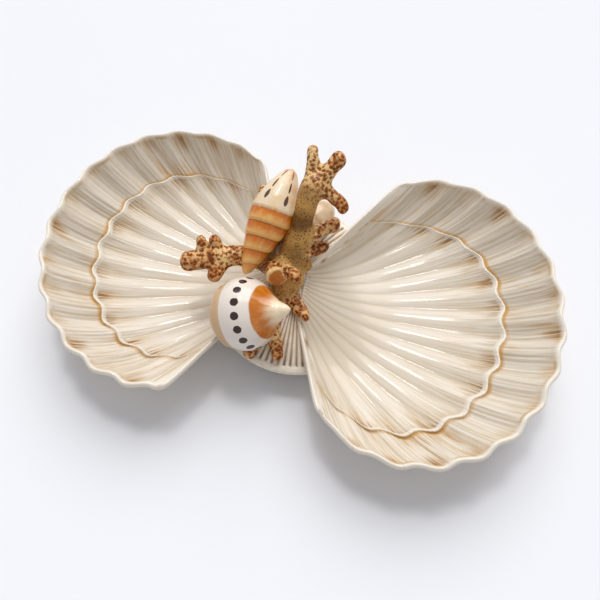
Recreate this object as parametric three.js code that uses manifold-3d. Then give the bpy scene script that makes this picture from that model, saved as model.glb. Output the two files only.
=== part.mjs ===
// Double shell dish: two fluted scallop bowls over a ribbed saddle, with a coral and shell handle.
// Millimetres, +Z up. The finished group stands on Z = 0, about the middle of its plan.
import * as THREE from 'three';
import { mergeVertices } from 'three/addons/utils/BufferGeometryUtils.js';
import Module from 'manifold-3d';

const wasm = await Module();
wasm.setup();

const { Vector3, Matrix4 } = THREE;
const UP = new Vector3(0, 0, 1);
const SPOKE_START = new Vector3(0.31, 0.17, 0.93);

// Slip joint left between two luted pieces
const SEAT_GAP = 0.3;

// Bowls: each is a fan of ribs about its own apex, cut off straight at the hinge
const RIGHT_REACH = 190;
const RIGHT_HALF_WIDTH = 109;
const RIGHT_FAN_ANGLE = 61.2;
const RIGHT_FAN_SKEW = -3.6;
const RIGHT_CORNER_BULGE = -5;
const RIGHT_APEX_X = 5;
const RIGHT_APEX_Y = -3.2;
const RIGHT_TURN = 0.6;
const LEFT_REACH = 174.5;
const LEFT_HALF_WIDTH = 100;
const LEFT_FAN_ANGLE = 63.2;
const LEFT_FAN_SKEW = -5.5;
const LEFT_CORNER_BULGE = 11;
const LEFT_APEX_X = 1.8;
const LEFT_APEX_Y = 10.5;
const LEFT_TURN = 183.7;
const HINGE_OFFSET = 12;
const HINGE_HALF_WIDTH = 18;
const HINGE_HEIGHT = 36;
const CORNER_HEIGHT = 43;
const TIP_HEIGHT = 48;
const FLOOR_HEIGHT = 12;
const BOWL_WALL = 5;
const LIP_SPREAD = 2;
const LIP_ROUND = 1.2;
const FLUTE_COUNT = 15;
const FLUTE_DEPTH = 1.1;
const SCALLOP_DEPTH = 3.2;
const CORNER_ROUND = 3;
const STEP_HEIGHT = 1.8;

// Where features lie along a rib, as shares of its run from the hinge (0) to the lip (1)
const DEEPEST = 0.42;
const STEP_AT = 0.81;
const STEP_RUN = 0.012;
const STEP_BEND = 0.26;

// Powers that shape the bowl: its run to the lip, to the hinge, to the straight sides, into the step,
// the bend of the step toward the straight sides, and the bulge and rounding of the corners
const LIP_SIDE_CURVE = 3.4;
const HINGE_SIDE_CURVE = 2.2;
const MARGIN_CURVE = 6;
const STEP_CURVE = 4;
const BEND_CURVE = 4;
const BULGE_CURVE = 6;
const ROUND_CURVE = 24;
const SIDE_SWELL = 0.15;

// Foot rings
const FOOT_RADIUS = 40;
const FOOT_WALL = 6;

// Saddle between the bowls: a core with a ribbed fan at the front and one at the back
const SADDLE_X = 5;
const SADDLE_Y = 2;
const FRONT_FAN_X = 12;
const FRONT_FAN_Y = -2;
const FRONT_FAN_RADIUS = 58;
const REAR_FAN_X = 4;
const REAR_FAN_Y = 6;
const REAR_FAN_RADIUS = 64;
const FAN_INNER_RADIUS = 17;
const FAN_SPREAD = 120;
const FAN_RIBS = 26;
const FAN_RIB_DEPTH = 0.8;
const FAN_TOP = 36;
const FAN_LIP_HEIGHT = 24;
const FAN_WALL = 5;
const CORE_LENGTH = 52;
const CORE_WIDTH = 44;
const CORE_BOTTOM = 12;

// Coral limbs
const TRUNK_BASE_RADIUS = 12.5;
const TRUNK_RADIUS = 10;
const TRUNK_TOP_RADIUS = 8;
const BRANCH_RADIUS = 9;
const BRANCH_TAPER = 0.2;
const TWIG_RADIUS = 4.8;
const STUB_RADIUS = 6;
const ROOT_RADIUS = 4.4;
const SEAT_DEPTH = 4;

// Coral centre lines, as (right, back, up) from the foot of the trunk and from the root of the branch
const TRUNK_PATH = [[0, 0, 0], [0.5, 12, 18], [0, 36, 40], [3.5, 58, 62]];
const BRANCH_PATH = [[0, 0, 0], [-19, 6, 3], [-39, 6, 4.5], [-58, 0, 5.5], [-76, -8, 5]];
const TRUNK_FOOT_X = 8;
const TRUNK_FOOT_Y = -12;
const BRANCH_AT = 0.23;

// Spindle shell
const SPINDLE_LENGTH = 78;
const SPINDLE_RADIUS = 15;
const SPINDLE_TURN = 76.3;
const SPINDLE_RISE = 23;
const SHELL_BITE = 1.5;

// Snail shell
const SNAIL_RADIUS = 25;
const SNAIL_LENGTH = 60;
const SNAIL_X = -15.5;
const SNAIL_Y = -35.7;
const SNAIL_HEIGHT = 50;
const SNAIL_TURN = 5;
const SNAIL_RISE = 30;

// Rear shell
const REAR_SHELL_LENGTH = 46;
const REAR_SHELL_RADIUS = 13;
const REAR_SHELL_TURN = 55;
const REAR_SHELL_RISE = 4;

// Finishes
const IVORY_GLAZE = { color: 0xe6dac6, roughness: 0.22, metalness: 0 };
const SADDLE_GLAZE = { color: 0xd8c8ae, roughness: 0.25, metalness: 0 };
const BARE_CLAY = { color: 0xe9e2d4, roughness: 0.85, metalness: 0 };
const CORAL_GLAZE = { color: 0xb08a58, roughness: 0.35, metalness: 0 };
const BANDED_GLAZE = { color: 0xc98f4e, roughness: 0.2, metalness: 0 };
const SPOTTED_GLAZE = { color: 0xe8dccb, roughness: 0.15, metalness: 0 };
const BLUSH_GLAZE = { color: 0xe4ccac, roughness: 0.2, metalness: 0 };

// Facets
const FLUTE_STEPS = 4;
const ROWS_BEFORE_STEP = [0, 0.09, 0.24, 0.45, 0.65];
const ROWS_AFTER_STEP = [0.88, 0.95, 1];
const FAN_RIB_STEPS = 2;
const FAN_ROWS = 4;
const TRUNK_SIDES = 14;
const TRUNK_RINGS = 10;
const BRANCH_SIDES = 12;
const BRANCH_RINGS = 9;
const TWIG_SIDES = 10;
const TWIG_RINGS = 4;
const TIP_RINGS = [35, 65];
const SHELL_SIDES = 22;
const RING_SIDES = 40;

const radians = THREE.MathUtils.degToRad;
const mix = THREE.MathUtils.lerp;
const range = (count) => Array.from({ length: count + 1 }, (_, index) => index / count);

// Solid of a closed geometry
function solidOf(geometry) {
  const bare = new THREE.BufferGeometry();
  bare.setAttribute('position', geometry.getAttribute('position'));
  bare.setIndex(geometry.getIndex());
  const merged = mergeVertices(bare);
  const corners = merged.getIndex().array;
  const triangles = [];
  for (let i = 0; i < corners.length; i += 3) {
    const [a, b, c] = corners.slice(i, i + 3);
    if (a !== b && b !== c && c !== a) triangles.push(a, b, c);
  }
  return new wasm.Manifold(new wasm.Mesh({
    numProp: 3,
    vertProperties: new Float32Array(merged.getAttribute('position').array),
    triVerts: new Uint32Array(triangles),
  }));
}

function geometryOf(solid) {
  const { vertProperties, triVerts } = solid.getMesh();
  const geometry = new THREE.BufferGeometry();
  geometry.setAttribute('position', new THREE.BufferAttribute(vertProperties, 3));
  geometry.setIndex(new THREE.BufferAttribute(triVerts, 1));
  geometry.computeVertexNormals();
  return geometry;
}

const largestBody = (solid) =>
  solid.decompose().reduce((best, body) => (body.volume() > best.volume() ? body : best));

// Closed solid between an upper and a lower sheet, each a function of u (across) and t (along),
// with a ring pushed out half way down its edge to round the lip
function sheetSolid(upper, lower, across, along, lipRound) {
  const columns = across.length;
  const points = [];
  for (const sheet of [upper, lower]) {
    for (const t of along) {
      for (const u of across) points.push(sheet(u, t));
    }
  }
  const at = (row, column) => row * columns + column;
  const lowerFirst = columns * along.length;
  const lastRow = along.length - 1;
  const lastColumn = columns - 1;
  const index = [];
  const quad = (a, b, c, d) => index.push(a, b, c, a, c, d);
  for (let row = 0; row < lastRow; row += 1) {
    for (let column = 0; column < lastColumn; column += 1) {
      const ring = [at(row, column), at(row + 1, column), at(row + 1, column + 1), at(row, column + 1)];
      quad(...ring);
      quad(...ring.map((corner) => corner + lowerFirst).reverse());
    }
  }
  const edge = [];
  for (let row = 0; row < lastRow; row += 1) edge.push(at(row, 0));
  for (let column = 0; column < lastColumn; column += 1) edge.push(at(lastRow, column));
  for (let row = lastRow; row > 0; row -= 1) edge.push(at(row, lastColumn));
  for (let column = lastColumn; column > 0; column -= 1) edge.push(at(0, column));
  const edgeFirst = points.length;
  edge.forEach((corner, k) => {
    const above = points[corner];
    const below = points[corner + lowerFirst];
    const before = points[edge.at(k - 1)];
    const after = points[edge[(k + 1) % edge.length]];
    const outward = after.clone().sub(before).cross(UP).normalize();
    points.push(above.clone().lerp(below, 0.5).addScaledVector(outward, lipRound));
  });
  edge.forEach((corner, k) => {
    const next = (k + 1) % edge.length;
    quad(corner + lowerFirst, edge[next] + lowerFirst, edgeFirst + next, edgeFirst + k);
    quad(edgeFirst + k, edgeFirst + next, edge[next], corner);
  });
  const geometry = new THREE.BufferGeometry().setFromPoints(points);
  geometry.setIndex(index);
  return geometry;
}

// Round limb along a curve: radius(s) is its radius at share s, and a rounded tip closes it unless it is cut
function limbSolid(curve, radius, { grow, sides, rings, cut = false }) {
  const length = curve.getLength();
  const tipStart = cut ? 1 : 1 - radius(1) / length;
  const stations = range(rings).map((s) => ({ s: s * tipStart, share: 1 }));
  if (!cut) {
    for (const angle of TIP_RINGS) {
      const turn = radians(angle);
      stations.push({ s: mix(tipStart, 1, Math.sin(turn)), share: Math.cos(turn) });
    }
  }
  const points = [];
  for (const { s, share } of stations) {
    const centre = curve.getPointAt(s);
    const tangent = curve.getTangentAt(s);
    const side = tangent.clone().cross(SPOKE_START).normalize();
    const front = tangent.clone().cross(side);
    const size = radius(s) * share + grow;
    for (let k = 0; k < sides; k += 1) {
      const turn = (2 * Math.PI * k) / sides;
      const spoke = side.clone().multiplyScalar(Math.cos(turn)).addScaledVector(front, Math.sin(turn));
      points.push(centre.clone().addScaledVector(spoke, size));
    }
  }
  const first = points.length;
  points.push(curve.getPointAt(0).addScaledVector(curve.getTangentAt(0), -grow));
  points.push(curve.getPointAt(1).addScaledVector(curve.getTangentAt(1), grow));
  const index = [];
  const lastRing = (stations.length - 1) * sides;
  for (let k = 0; k < sides; k += 1) {
    const next = (k + 1) % sides;
    for (let ring = 0; ring < lastRing; ring += sides) {
      const above = ring + sides;
      index.push(ring + k, ring + next, above + next, ring + k, above + next, above + k);
    }
    index.push(first, next, k, first + 1, lastRing + k, lastRing + next);
  }
  const geometry = new THREE.BufferGeometry().setFromPoints(points);
  geometry.setIndex(index);
  return geometry;
}

// Solid of revolution: profile is a list of [share of length, share of radius], turned about its own axis,
// which then points along the given plan turn and rise with the station `rest` at `place`
function turnedSolid(profile, { length, radius, turn, rise, place, rest, grow = 0 }) {
  const outline = profile.map(([along, out]) => {
    const pole = out === 0;
    const end = pole ? Math.sign(along - 0.5) * grow : 0;
    return new THREE.Vector2(pole ? 0 : out * radius + grow, (along - rest) * length + end);
  });
  const geometry = new THREE.LatheGeometry(outline, SHELL_SIDES);
  const axis = new Vector3(
    Math.cos(radians(turn)) * Math.cos(radians(rise)),
    Math.sin(radians(turn)) * Math.cos(radians(rise)),
    Math.sin(radians(rise)),
  );
  geometry.applyQuaternion(new THREE.Quaternion().setFromUnitVectors(new Vector3(0, 1, 0), axis));
  geometry.translate(place.x, place.y, place.z);
  return geometry;
}

// Scallop bowl about its apex, opening along +X before it is placed
function scallopBowl({ reach, halfWidth, fanAngle, fanSkew, cornerBulge, place }) {
  const squash = reach / 2 / halfWidth;
  const rimRadius = (angle, u) => {
    const cos = Math.cos(angle);
    const sin = Math.sin(angle) * squash;
    return (reach * cos) / (cos * cos + sin * sin) + cornerBulge * u ** BULGE_CURVE;
  };
  // +1 in a furrow, -1 on a rib
  const furrow = (u) => Math.cos(Math.PI * FLUTE_COUNT * (u + 1));
  const lipHeight = (u, t) => mix(HINGE_HEIGHT, mix(TIP_HEIGHT, CORNER_HEIGHT, u * u), t);
  const depth = lipHeight(0, DEEPEST) - FLOOR_HEIGHT;
  const hollow = (t) => (t > DEEPEST
    ? 1 - ((t - DEEPEST) / (1 - DEEPEST)) ** LIP_SIDE_CURVE
    : 1 - ((DEEPEST - t) / DEEPEST) ** HINGE_SIDE_CURVE);
  const flat = (u, t) => {
    const angle = radians(fanSkew + fanAngle * u);
    const radius = rimRadius(angle, u) - (SCALLOP_DEPTH * (1 - furrow(u))) / 2;
    const x = mix(HINGE_OFFSET, radius * Math.cos(angle), t);
    const y = mix(HINGE_HALF_WIDTH * u, radius * Math.sin(angle), t);
    return new Vector3(x, y, 0);
  };
  const centre = flat(0, DEEPEST);
  const plan = (u, t) => {
    const point = flat(u, t);
    const pull = CORNER_ROUND * Math.abs(u * t) ** ROUND_CURVE;
    return point.addScaledVector(centre.clone().sub(point).normalize(), pull);
  };
  // Share of the rib's run at a row: rows bend toward the hinge with the step near the straight sides
  const run = (u, row) => {
    const step = STEP_AT - STEP_BEND * Math.abs(u) ** BEND_CURVE;
    return row < STEP_AT ? (row / STEP_AT) * step : mix(step, 1, (row - STEP_AT) / (1 - STEP_AT));
  };
  const margin = (u) => 1 - Math.abs(u) ** MARGIN_CURVE;
  const flute = (u, t) => -FLUTE_DEPTH * furrow(u) * Math.sqrt(t) * margin(u);
  const base = (u, t) => {
    const cup = hollow(t) * margin(u) * (1 + SIDE_SWELL * u * u);
    return lipHeight(u, t) - depth * cup + flute(u, t);
  };
  // The cut-back shapes of neighbours use the same bowl with every face moved out by `grow`
  const inside = (grow) => (u, row) => {
    const t = run(u, row);
    const step = row < STEP_AT ? STEP_HEIGHT * (row / STEP_AT) ** STEP_CURVE * margin(u) : 0;
    return plan(u, t).setZ(base(u, t) + step + grow).applyMatrix4(place);
  };
  const outside = (grow) => (u, row) => {
    const t = run(u, row);
    const spread = 1 + (LIP_SPREAD + grow) / halfWidth;
    const point = plan(u, t).sub(centre).multiplyScalar(spread).add(centre);
    return point.setZ(base(u, t) - BOWL_WALL - grow).applyMatrix4(place);
  };
  const across = range(FLUTE_COUNT * FLUTE_STEPS).map((share) => 2 * share - 1);
  const rows = [...ROWS_BEFORE_STEP, STEP_AT - STEP_RUN, STEP_AT + STEP_RUN, ...ROWS_AFTER_STEP];
  const lid = (u, row) => outside(SEAT_GAP)(u, row).addScaledVector(UP, 2 * TIP_HEIGHT);
  return {
    floor: centre.clone().applyMatrix4(place),
    solid: (grow = 0) => solidOf(sheetSolid(inside(grow), outside(grow), across, rows, LIP_ROUND + grow)),
    // All that lies above the outer face, which the pieces below the bowl are cut back from
    above: () => solidOf(sheetSolid(lid, outside(SEAT_GAP), across, rows, LIP_ROUND + SEAT_GAP)),
  };
}

// Bare ring under the deepest part of a bowl, cut back to its outer face
function footRing(bowl) {
  const inner = FOOT_RADIUS - FOOT_WALL;
  const corners = [[inner, 0], [FOOT_RADIUS, 0], [FOOT_RADIUS, TIP_HEIGHT], [inner, TIP_HEIGHT], [inner, 0]];
  const outline = corners.map(([radius, height]) => new THREE.Vector2(radius, height));
  const geometry = new THREE.LatheGeometry(outline, RING_SIDES);
  geometry.rotateX(Math.PI / 2);
  geometry.translate(bowl.floor.x, bowl.floor.y, 0);
  return solidOf(geometry).subtract(bowl.above());
}

// Ribbed skirt between the bowls, about its own centre, facing the given plan direction
function ribbedFan({ x, y, radius, facing }) {
  const height = (t) => mix(FAN_TOP, FAN_LIP_HEIGHT, t * t);
  const spot = (u, t, grow) => {
    const angle = radians(facing + (u * FAN_SPREAD) / 2);
    const reach = mix(FAN_INNER_RADIUS - grow, radius + grow, t);
    return new Vector3(x + reach * Math.cos(angle), y + reach * Math.sin(angle), height(t));
  };
  const rib = (u, t) => FAN_RIB_DEPTH * Math.cos(Math.PI * FAN_RIBS * (u + 1)) * Math.sqrt(t);
  const across = range(FAN_RIBS * FAN_RIB_STEPS).map((share) => 2 * share - 1);
  return {
    spot: (u, t) => spot(u, t, 0),
    solid: (grow) => {
      const upper = (u, t) => spot(u, t, grow).addScaledVector(UP, rib(u, t) + grow);
      const lower = (u, t) => spot(u, t, grow).addScaledVector(UP, -FAN_WALL - grow);
      return solidOf(sheetSolid(upper, lower, across, range(FAN_ROWS), LIP_ROUND + grow));
    },
  };
}

// Pieces in the order that they are luted: each is cut back from all that stand before it
const group = new THREE.Group();
const standing = [];

function lute(name, finish, shape, clear = []) {
  const cut = [...standing, ...clear].reduce((rest, cutter) => rest.subtract(cutter), shape(0));
  const body = largestBody(solidOf(geometryOf(cut)));
  const mesh = new THREE.Mesh(geometryOf(body), new THREE.MeshStandardMaterial(finish));
  mesh.name = name;
  group.add(mesh);
  standing.push(shape(SEAT_GAP));
}

// Bowls and what stands below them
const placed = (x, y, turn) => new Matrix4().makeRotationZ(radians(turn)).setPosition(x, y, 0);
const rightBowl = scallopBowl({
  reach: RIGHT_REACH,
  halfWidth: RIGHT_HALF_WIDTH,
  fanAngle: RIGHT_FAN_ANGLE,
  fanSkew: RIGHT_FAN_SKEW,
  cornerBulge: RIGHT_CORNER_BULGE,
  place: placed(RIGHT_APEX_X, RIGHT_APEX_Y, RIGHT_TURN),
});
const leftBowl = scallopBowl({
  reach: LEFT_REACH,
  halfWidth: LEFT_HALF_WIDTH,
  fanAngle: LEFT_FAN_ANGLE,
  fanSkew: LEFT_FAN_SKEW,
  cornerBulge: LEFT_CORNER_BULGE,
  place: placed(LEFT_APEX_X, LEFT_APEX_Y, LEFT_TURN),
});
const aboveBowls = [rightBowl.above(), leftBowl.above()];
lute('right_dish', IVORY_GLAZE, rightBowl.solid);
lute('left_dish', IVORY_GLAZE, leftBowl.solid);
lute('right_foot_ring', BARE_CLAY, () => footRing(rightBowl));
lute('left_foot_ring', BARE_CLAY, () => footRing(leftBowl));

// Saddle
const frontFan = ribbedFan({ x: FRONT_FAN_X, y: FRONT_FAN_Y, radius: FRONT_FAN_RADIUS, facing: -90 });
const rearFan = ribbedFan({ x: REAR_FAN_X, y: REAR_FAN_Y, radius: REAR_FAN_RADIUS, facing: 90 });
lute('front_fan', SADDLE_GLAZE, frontFan.solid, aboveBowls);
lute('rear_fan', SADDLE_GLAZE, rearFan.solid, aboveBowls);
lute('saddle_core', SADDLE_GLAZE, (grow) => {
  const height = FAN_TOP - CORE_BOTTOM;
  const block = new THREE.BoxGeometry(CORE_LENGTH + 2 * grow, CORE_WIDTH + 2 * grow, height + 2 * grow);
  block.translate(SADDLE_X, SADDLE_Y, CORE_BOTTOM + height / 2);
  return solidOf(block);
}, aboveBowls);

// Coral centre lines: the trunk leans back from the saddle, and the left branch leaves it low down
const offset = (from, right, back, up) => from.clone().add(new Vector3(right, back, up));
const pathFrom = (from, path) => new THREE.CatmullRomCurve3(path.map((step) => offset(from, ...step)));
const trunk = pathFrom(new Vector3(TRUNK_FOOT_X, TRUNK_FOOT_Y, FAN_TOP - SEAT_DEPTH), TRUNK_PATH);
const trunkRadius = (s) =>
  mix(mix(TRUNK_BASE_RADIUS, TRUNK_RADIUS, Math.min(1, s / BRANCH_AT)), TRUNK_TOP_RADIUS, s * s);
const leftBranch = pathFrom(trunk.getPointAt(BRANCH_AT), BRANCH_PATH);
const branchRadius = (s) => BRANCH_RADIUS * (1 - BRANCH_TAPER * s);

// Spindle shell rests on the left branch
const SPINDLE_PROFILE = [
  [0, 0], [0.02, 0.17], [0.095, 0.38], [0.11, 0.35], [0.21, 0.56], [0.23, 0.54], [0.335, 0.76], [0.355, 0.73],
  [0.455, 0.93], [0.475, 0.9], [0.56, 1], [0.65, 0.97], [0.74, 0.86], [0.84, 0.66], [0.92, 0.45], [0.98, 0.25],
  [1, 0],
];
const SPINDLE_REST = 0.25;
const SPINDLE_REST_SHARE = 0.58;
const BRANCH_REST = 0.345;
const spindleLift = branchRadius(BRANCH_REST) + SPINDLE_REST_SHARE * SPINDLE_RADIUS - SHELL_BITE;
lute('spindle_shell', BANDED_GLAZE, (grow) => solidOf(turnedSolid(SPINDLE_PROFILE, {
  length: SPINDLE_LENGTH,
  radius: SPINDLE_RADIUS,
  turn: SPINDLE_TURN,
  rise: SPINDLE_RISE,
  rest: SPINDLE_REST,
  place: leftBranch.getPointAt(BRANCH_REST).addScaledVector(UP, spindleLift),
  grow,
})));

// Snail shell leans on the left bowl's straight lip
const SNAIL_PROFILE = [
  [0, 0], [0.015, 0.25], [0.042, 0.42], [0.108, 0.68], [0.208, 0.876], [0.308, 0.972], [0.408, 1],
  [0.475, 0.985], [0.575, 0.89], [0.647, 0.75], [0.748, 0.47], [0.82, 0.31], [0.885, 0.21], [0.958, 0.12], [1, 0],
];
const SNAIL_REST = 0.408;
lute('snail_shell', SPOTTED_GLAZE, (grow) => solidOf(turnedSolid(SNAIL_PROFILE, {
  length: SNAIL_LENGTH,
  radius: SNAIL_RADIUS,
  turn: SNAIL_TURN,
  rise: SNAIL_RISE,
  rest: SNAIL_REST,
  place: new Vector3(SNAIL_X, SNAIL_Y, SNAIL_HEIGHT),
  grow,
})));

// Rear shell lies on the rear fan
const REAR_SHELL_PROFILE = [
  [0, 0], [0.02, 0.3], [0.12, 0.66], [0.3, 0.94], [0.48, 1], [0.66, 0.95], [0.82, 0.76], [0.93, 0.48],
  [0.98, 0.24], [1, 0],
];
const REAR_SHELL_ACROSS = -0.1;
const REAR_SHELL_ALONG = 0.47;
const rearShellSeat = rearFan.spot(REAR_SHELL_ACROSS, REAR_SHELL_ALONG);
lute('rear_shell', BLUSH_GLAZE, (grow) => solidOf(turnedSolid(REAR_SHELL_PROFILE, {
  length: REAR_SHELL_LENGTH,
  radius: REAR_SHELL_RADIUS,
  turn: REAR_SHELL_TURN,
  rise: REAR_SHELL_RISE,
  rest: 0.5,
  place: rearShellSeat.clone().addScaledVector(UP, REAR_SHELL_RADIUS - SHELL_BITE),
  grow,
})));

// Coral
const limb = (name, curve, radius, facets) =>
  lute(name, CORAL_GLAZE, (grow) => solidOf(limbSolid(curve, radius, { ...facets, grow })));
limb('coral_trunk', trunk, trunkRadius, { sides: TRUNK_SIDES, rings: TRUNK_RINGS });
limb('coral_left_branch', leftBranch, branchRadius, { sides: BRANCH_SIDES, rings: BRANCH_RINGS });

// Each twig leaves its parent at a share of the parent's run and reaches by (right, back, up)
const TWIGS = [
  { name: 'coral_top_left_twig', from: trunk, at: 0.96, reach: [-5, 23, 18] },
  { name: 'coral_top_right_twig', from: trunk, at: 0.96, reach: [17, 21, 18] },
  { name: 'coral_right_twig', from: trunk, at: 0.96, reach: [25.5, -6, -6] },
  { name: 'coral_mid_right_twig', from: trunk, at: 0.56, reach: [23, 18, -3] },
  { name: 'coral_low_right_twig', from: trunk, at: 0.38, reach: [17, 18, -6] },
  { name: 'coral_rear_twig', from: trunk, at: 0.56, reach: [-31.5, 30, 3] },
  { name: 'coral_left_lower_twig', from: leftBranch, at: 0.64, reach: [-5, -18, -6] },
  { name: 'coral_left_upper_twig', from: leftBranch, at: 0.82, reach: [-7, 11, 8] },
  { name: 'coral_left_back_twig', from: leftBranch, at: 0.68, reach: [-7, 8, 9] },
  { name: 'coral_front_stub', from: trunk, at: 0.24, reach: [-11, -13, 12.5], radius: STUB_RADIUS, cut: true },
  { name: 'coral_front_twig', from: trunk, at: 0.36, reach: [3.7, -17, 1.5] },
  { name: 'coral_right_root', from: trunk, at: 0.1, reach: [16, -20, 2], radius: ROOT_RADIUS },
  { name: 'coral_front_root', from: trunk, at: 0.04, reach: [0, -43, -5], radius: ROOT_RADIUS },
  { name: 'coral_front_left_root', from: trunk, at: 0.02, reach: [-15, -43, -5], radius: ROOT_RADIUS },
];
const ROOT_SWELL = 1.12;
const TIP_TAPER = 0.94;
for (const { name, from, at, reach, radius = TWIG_RADIUS, cut = false } of TWIGS) {
  const start = from.getPointAt(at);
  const twig = new THREE.LineCurve3(start, offset(start, ...reach));
  const taper = (s) => radius * mix(ROOT_SWELL, TIP_TAPER, s);
  limb(name, twig, taper, { cut, sides: TWIG_SIDES, rings: TWIG_RINGS });
}

// Stand the group on Z = 0 about the middle of its plan
const box = new THREE.Box3().setFromObject(group);
const middle = box.getCenter(new Vector3());
group.position.set(-middle.x, -middle.y, -box.min.z);

export default group;
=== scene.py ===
"""Looks of a double shell dish: two fluted scallop bowls, a ribbed saddle, and a coral and shell handle.

Every piece is a surface worked out with numpy in millimetres, in the frame that the dish was drawn in,
with +Z up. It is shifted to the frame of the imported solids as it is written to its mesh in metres.
"""

import logging
import math
from dataclasses import dataclass, field
from enum import Enum
from typing import Any, Callable, ClassVar, Sequence

import bpy
import numpy as np
from mathutils import Matrix, Vector


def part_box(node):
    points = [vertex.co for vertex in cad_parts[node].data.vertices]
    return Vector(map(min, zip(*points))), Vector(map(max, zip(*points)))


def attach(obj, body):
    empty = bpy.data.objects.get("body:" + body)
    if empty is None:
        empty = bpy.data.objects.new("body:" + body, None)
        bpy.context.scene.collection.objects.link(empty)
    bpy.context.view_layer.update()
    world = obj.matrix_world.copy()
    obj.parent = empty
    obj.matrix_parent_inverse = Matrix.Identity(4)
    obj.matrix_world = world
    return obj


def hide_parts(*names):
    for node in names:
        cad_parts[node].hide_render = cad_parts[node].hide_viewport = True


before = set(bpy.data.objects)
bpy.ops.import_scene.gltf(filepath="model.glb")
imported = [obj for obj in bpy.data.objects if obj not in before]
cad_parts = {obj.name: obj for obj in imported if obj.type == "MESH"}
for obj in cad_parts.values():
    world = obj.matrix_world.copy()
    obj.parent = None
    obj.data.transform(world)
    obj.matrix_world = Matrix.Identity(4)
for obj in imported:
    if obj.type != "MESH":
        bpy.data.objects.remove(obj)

LOG = logging.getLogger("double_shell_dish")
MM = 0.001
TURN = 2 * math.pi
Array = np.ndarray
Colour = tuple[float, float, float]
Point = tuple[float, float, float]


def srgb(*levels: int) -> Colour:
    """Linear colour of red, green and blue screen levels from 0 to 255."""
    shares = np.array(levels) / 255
    return tuple(np.where(shares <= 0.04045, shares / 12.92, ((shares + 0.055) / 1.055) ** 2.4).tolist())


def mix(first: Any, second: Any, share: Any) -> Any:
    """Value that is the first at share 0 and the second at share 1."""
    return first + (second - first) * share


def smooth(values: Array, low: float, high: float) -> Array:
    """Smooth step 3s^2 - 2s^3, with s the share of the way from low to high, held to 0 and 1."""
    share = np.clip((values - low) / (high - low), 0, 1)
    return share * share * (3 - 2 * share)


def bump(values: Array, centre: float, width: float) -> Array:
    """Bell curve exp(-((v - centre) / width)^2)."""
    return np.exp(-(((values - centre) / width) ** 2))


def unit(vectors: Array) -> Array:
    """Vectors divided by their lengths, along the last axis."""
    return vectors / np.linalg.norm(vectors, axis=-1, keepdims=True)


def direction(turn: float, rise: float) -> Array:
    """Unit vector at a plan turn from +X and a rise from level, both in degrees."""
    turn, rise = math.radians(turn), math.radians(rise)
    return np.array([math.cos(turn) * math.cos(rise), math.sin(turn) * math.cos(rise), math.sin(rise)])


def link(name: str, data: bpy.types.ID) -> bpy.types.Object:
    """Adds an object that holds the data to the scene.

    Args:
        name: The object's name.
        data: A mesh, lamp or camera.

    Returns:
        The new object.
    """
    made = bpy.data.objects.new(name, data)
    bpy.context.scene.collection.objects.link(made)
    return made


# Meshes


@dataclass
class Surface:
    """Points and faces of a piece, with a pattern coordinate on each face corner and marks on each point."""

    points: Array
    faces: list[Array]
    pattern: list[Array] = field(default_factory=list)
    marks: dict[str, Array] = field(default_factory=dict)

    def to_object(self, name: str, shift: Array | float = 0.0) -> bpy.types.Object:
        """Writes the surface to a new smooth-shaded mesh object at the origin.

        Args:
            name: The object's name.
            shift: Shift from the drawing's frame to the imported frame, in millimetres.

        Returns:
            The linked object.
        """
        mesh = bpy.data.meshes.new(name)
        corners = np.concatenate([part.ravel() for part in self.faces])
        totals = np.concatenate([np.full(len(part), part.shape[1]) for part in self.faces])
        mesh.vertices.add(len(self.points))
        mesh.vertices.foreach_set("co", ((self.points + shift) * MM).astype(np.float32).ravel())
        mesh.loops.add(len(corners))
        mesh.loops.foreach_set("vertex_index", corners.astype(np.int32))
        mesh.polygons.add(len(totals))
        mesh.polygons.foreach_set("loop_start", (np.cumsum(totals) - totals).astype(np.int32))
        mesh.polygons.foreach_set("loop_total", totals.astype(np.int32))
        mesh.polygons.foreach_set("use_smooth", np.ones(len(totals), bool))
        if self.pattern:
            flat = np.concatenate([part.reshape(-1, 2) for part in self.pattern])
            mesh.uv_layers.new(name="pattern").data.foreach_set("uv", flat.astype(np.float32).ravel())
        for mark, values in self.marks.items():
            attribute = mesh.attributes.new(mark, "FLOAT", "POINT")
            attribute.data.foreach_set("value", values.astype(np.float32).ravel())
        mesh.update(calc_edges=True)
        mesh.validate()
        return link(name, mesh)


def grid_quads(rows: int, columns: int, wrap: bool = False, close: bool = False) -> Array:
    """Quads of a grid of points held row by row.

    Args:
        rows: Number of rows.
        columns: Number of columns.
        wrap: Whether the last column joins the first.
        close: Whether the last row joins the first.

    Returns:
        Corner numbers, one line per quad, running along a row first.
    """
    index = np.arange(rows * columns).reshape(rows, columns)
    index = np.pad(index, ((0, int(close)), (0, int(wrap))), mode="wrap")
    return np.stack([index[:-1, :-1], index[:-1, 1:], index[1:, 1:], index[1:, :-1]], -1).reshape(-1, 4)


def grid_edge(rows: int, columns: int) -> Array:
    """Loop of corner numbers round a grid: first row forward, last column, last row back, first column."""
    index = np.arange(rows * columns).reshape(rows, columns)
    return np.concatenate([index[0, :-1], index[:-1, -1], index[-1, :0:-1], index[:0:-1, 0]])


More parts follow.
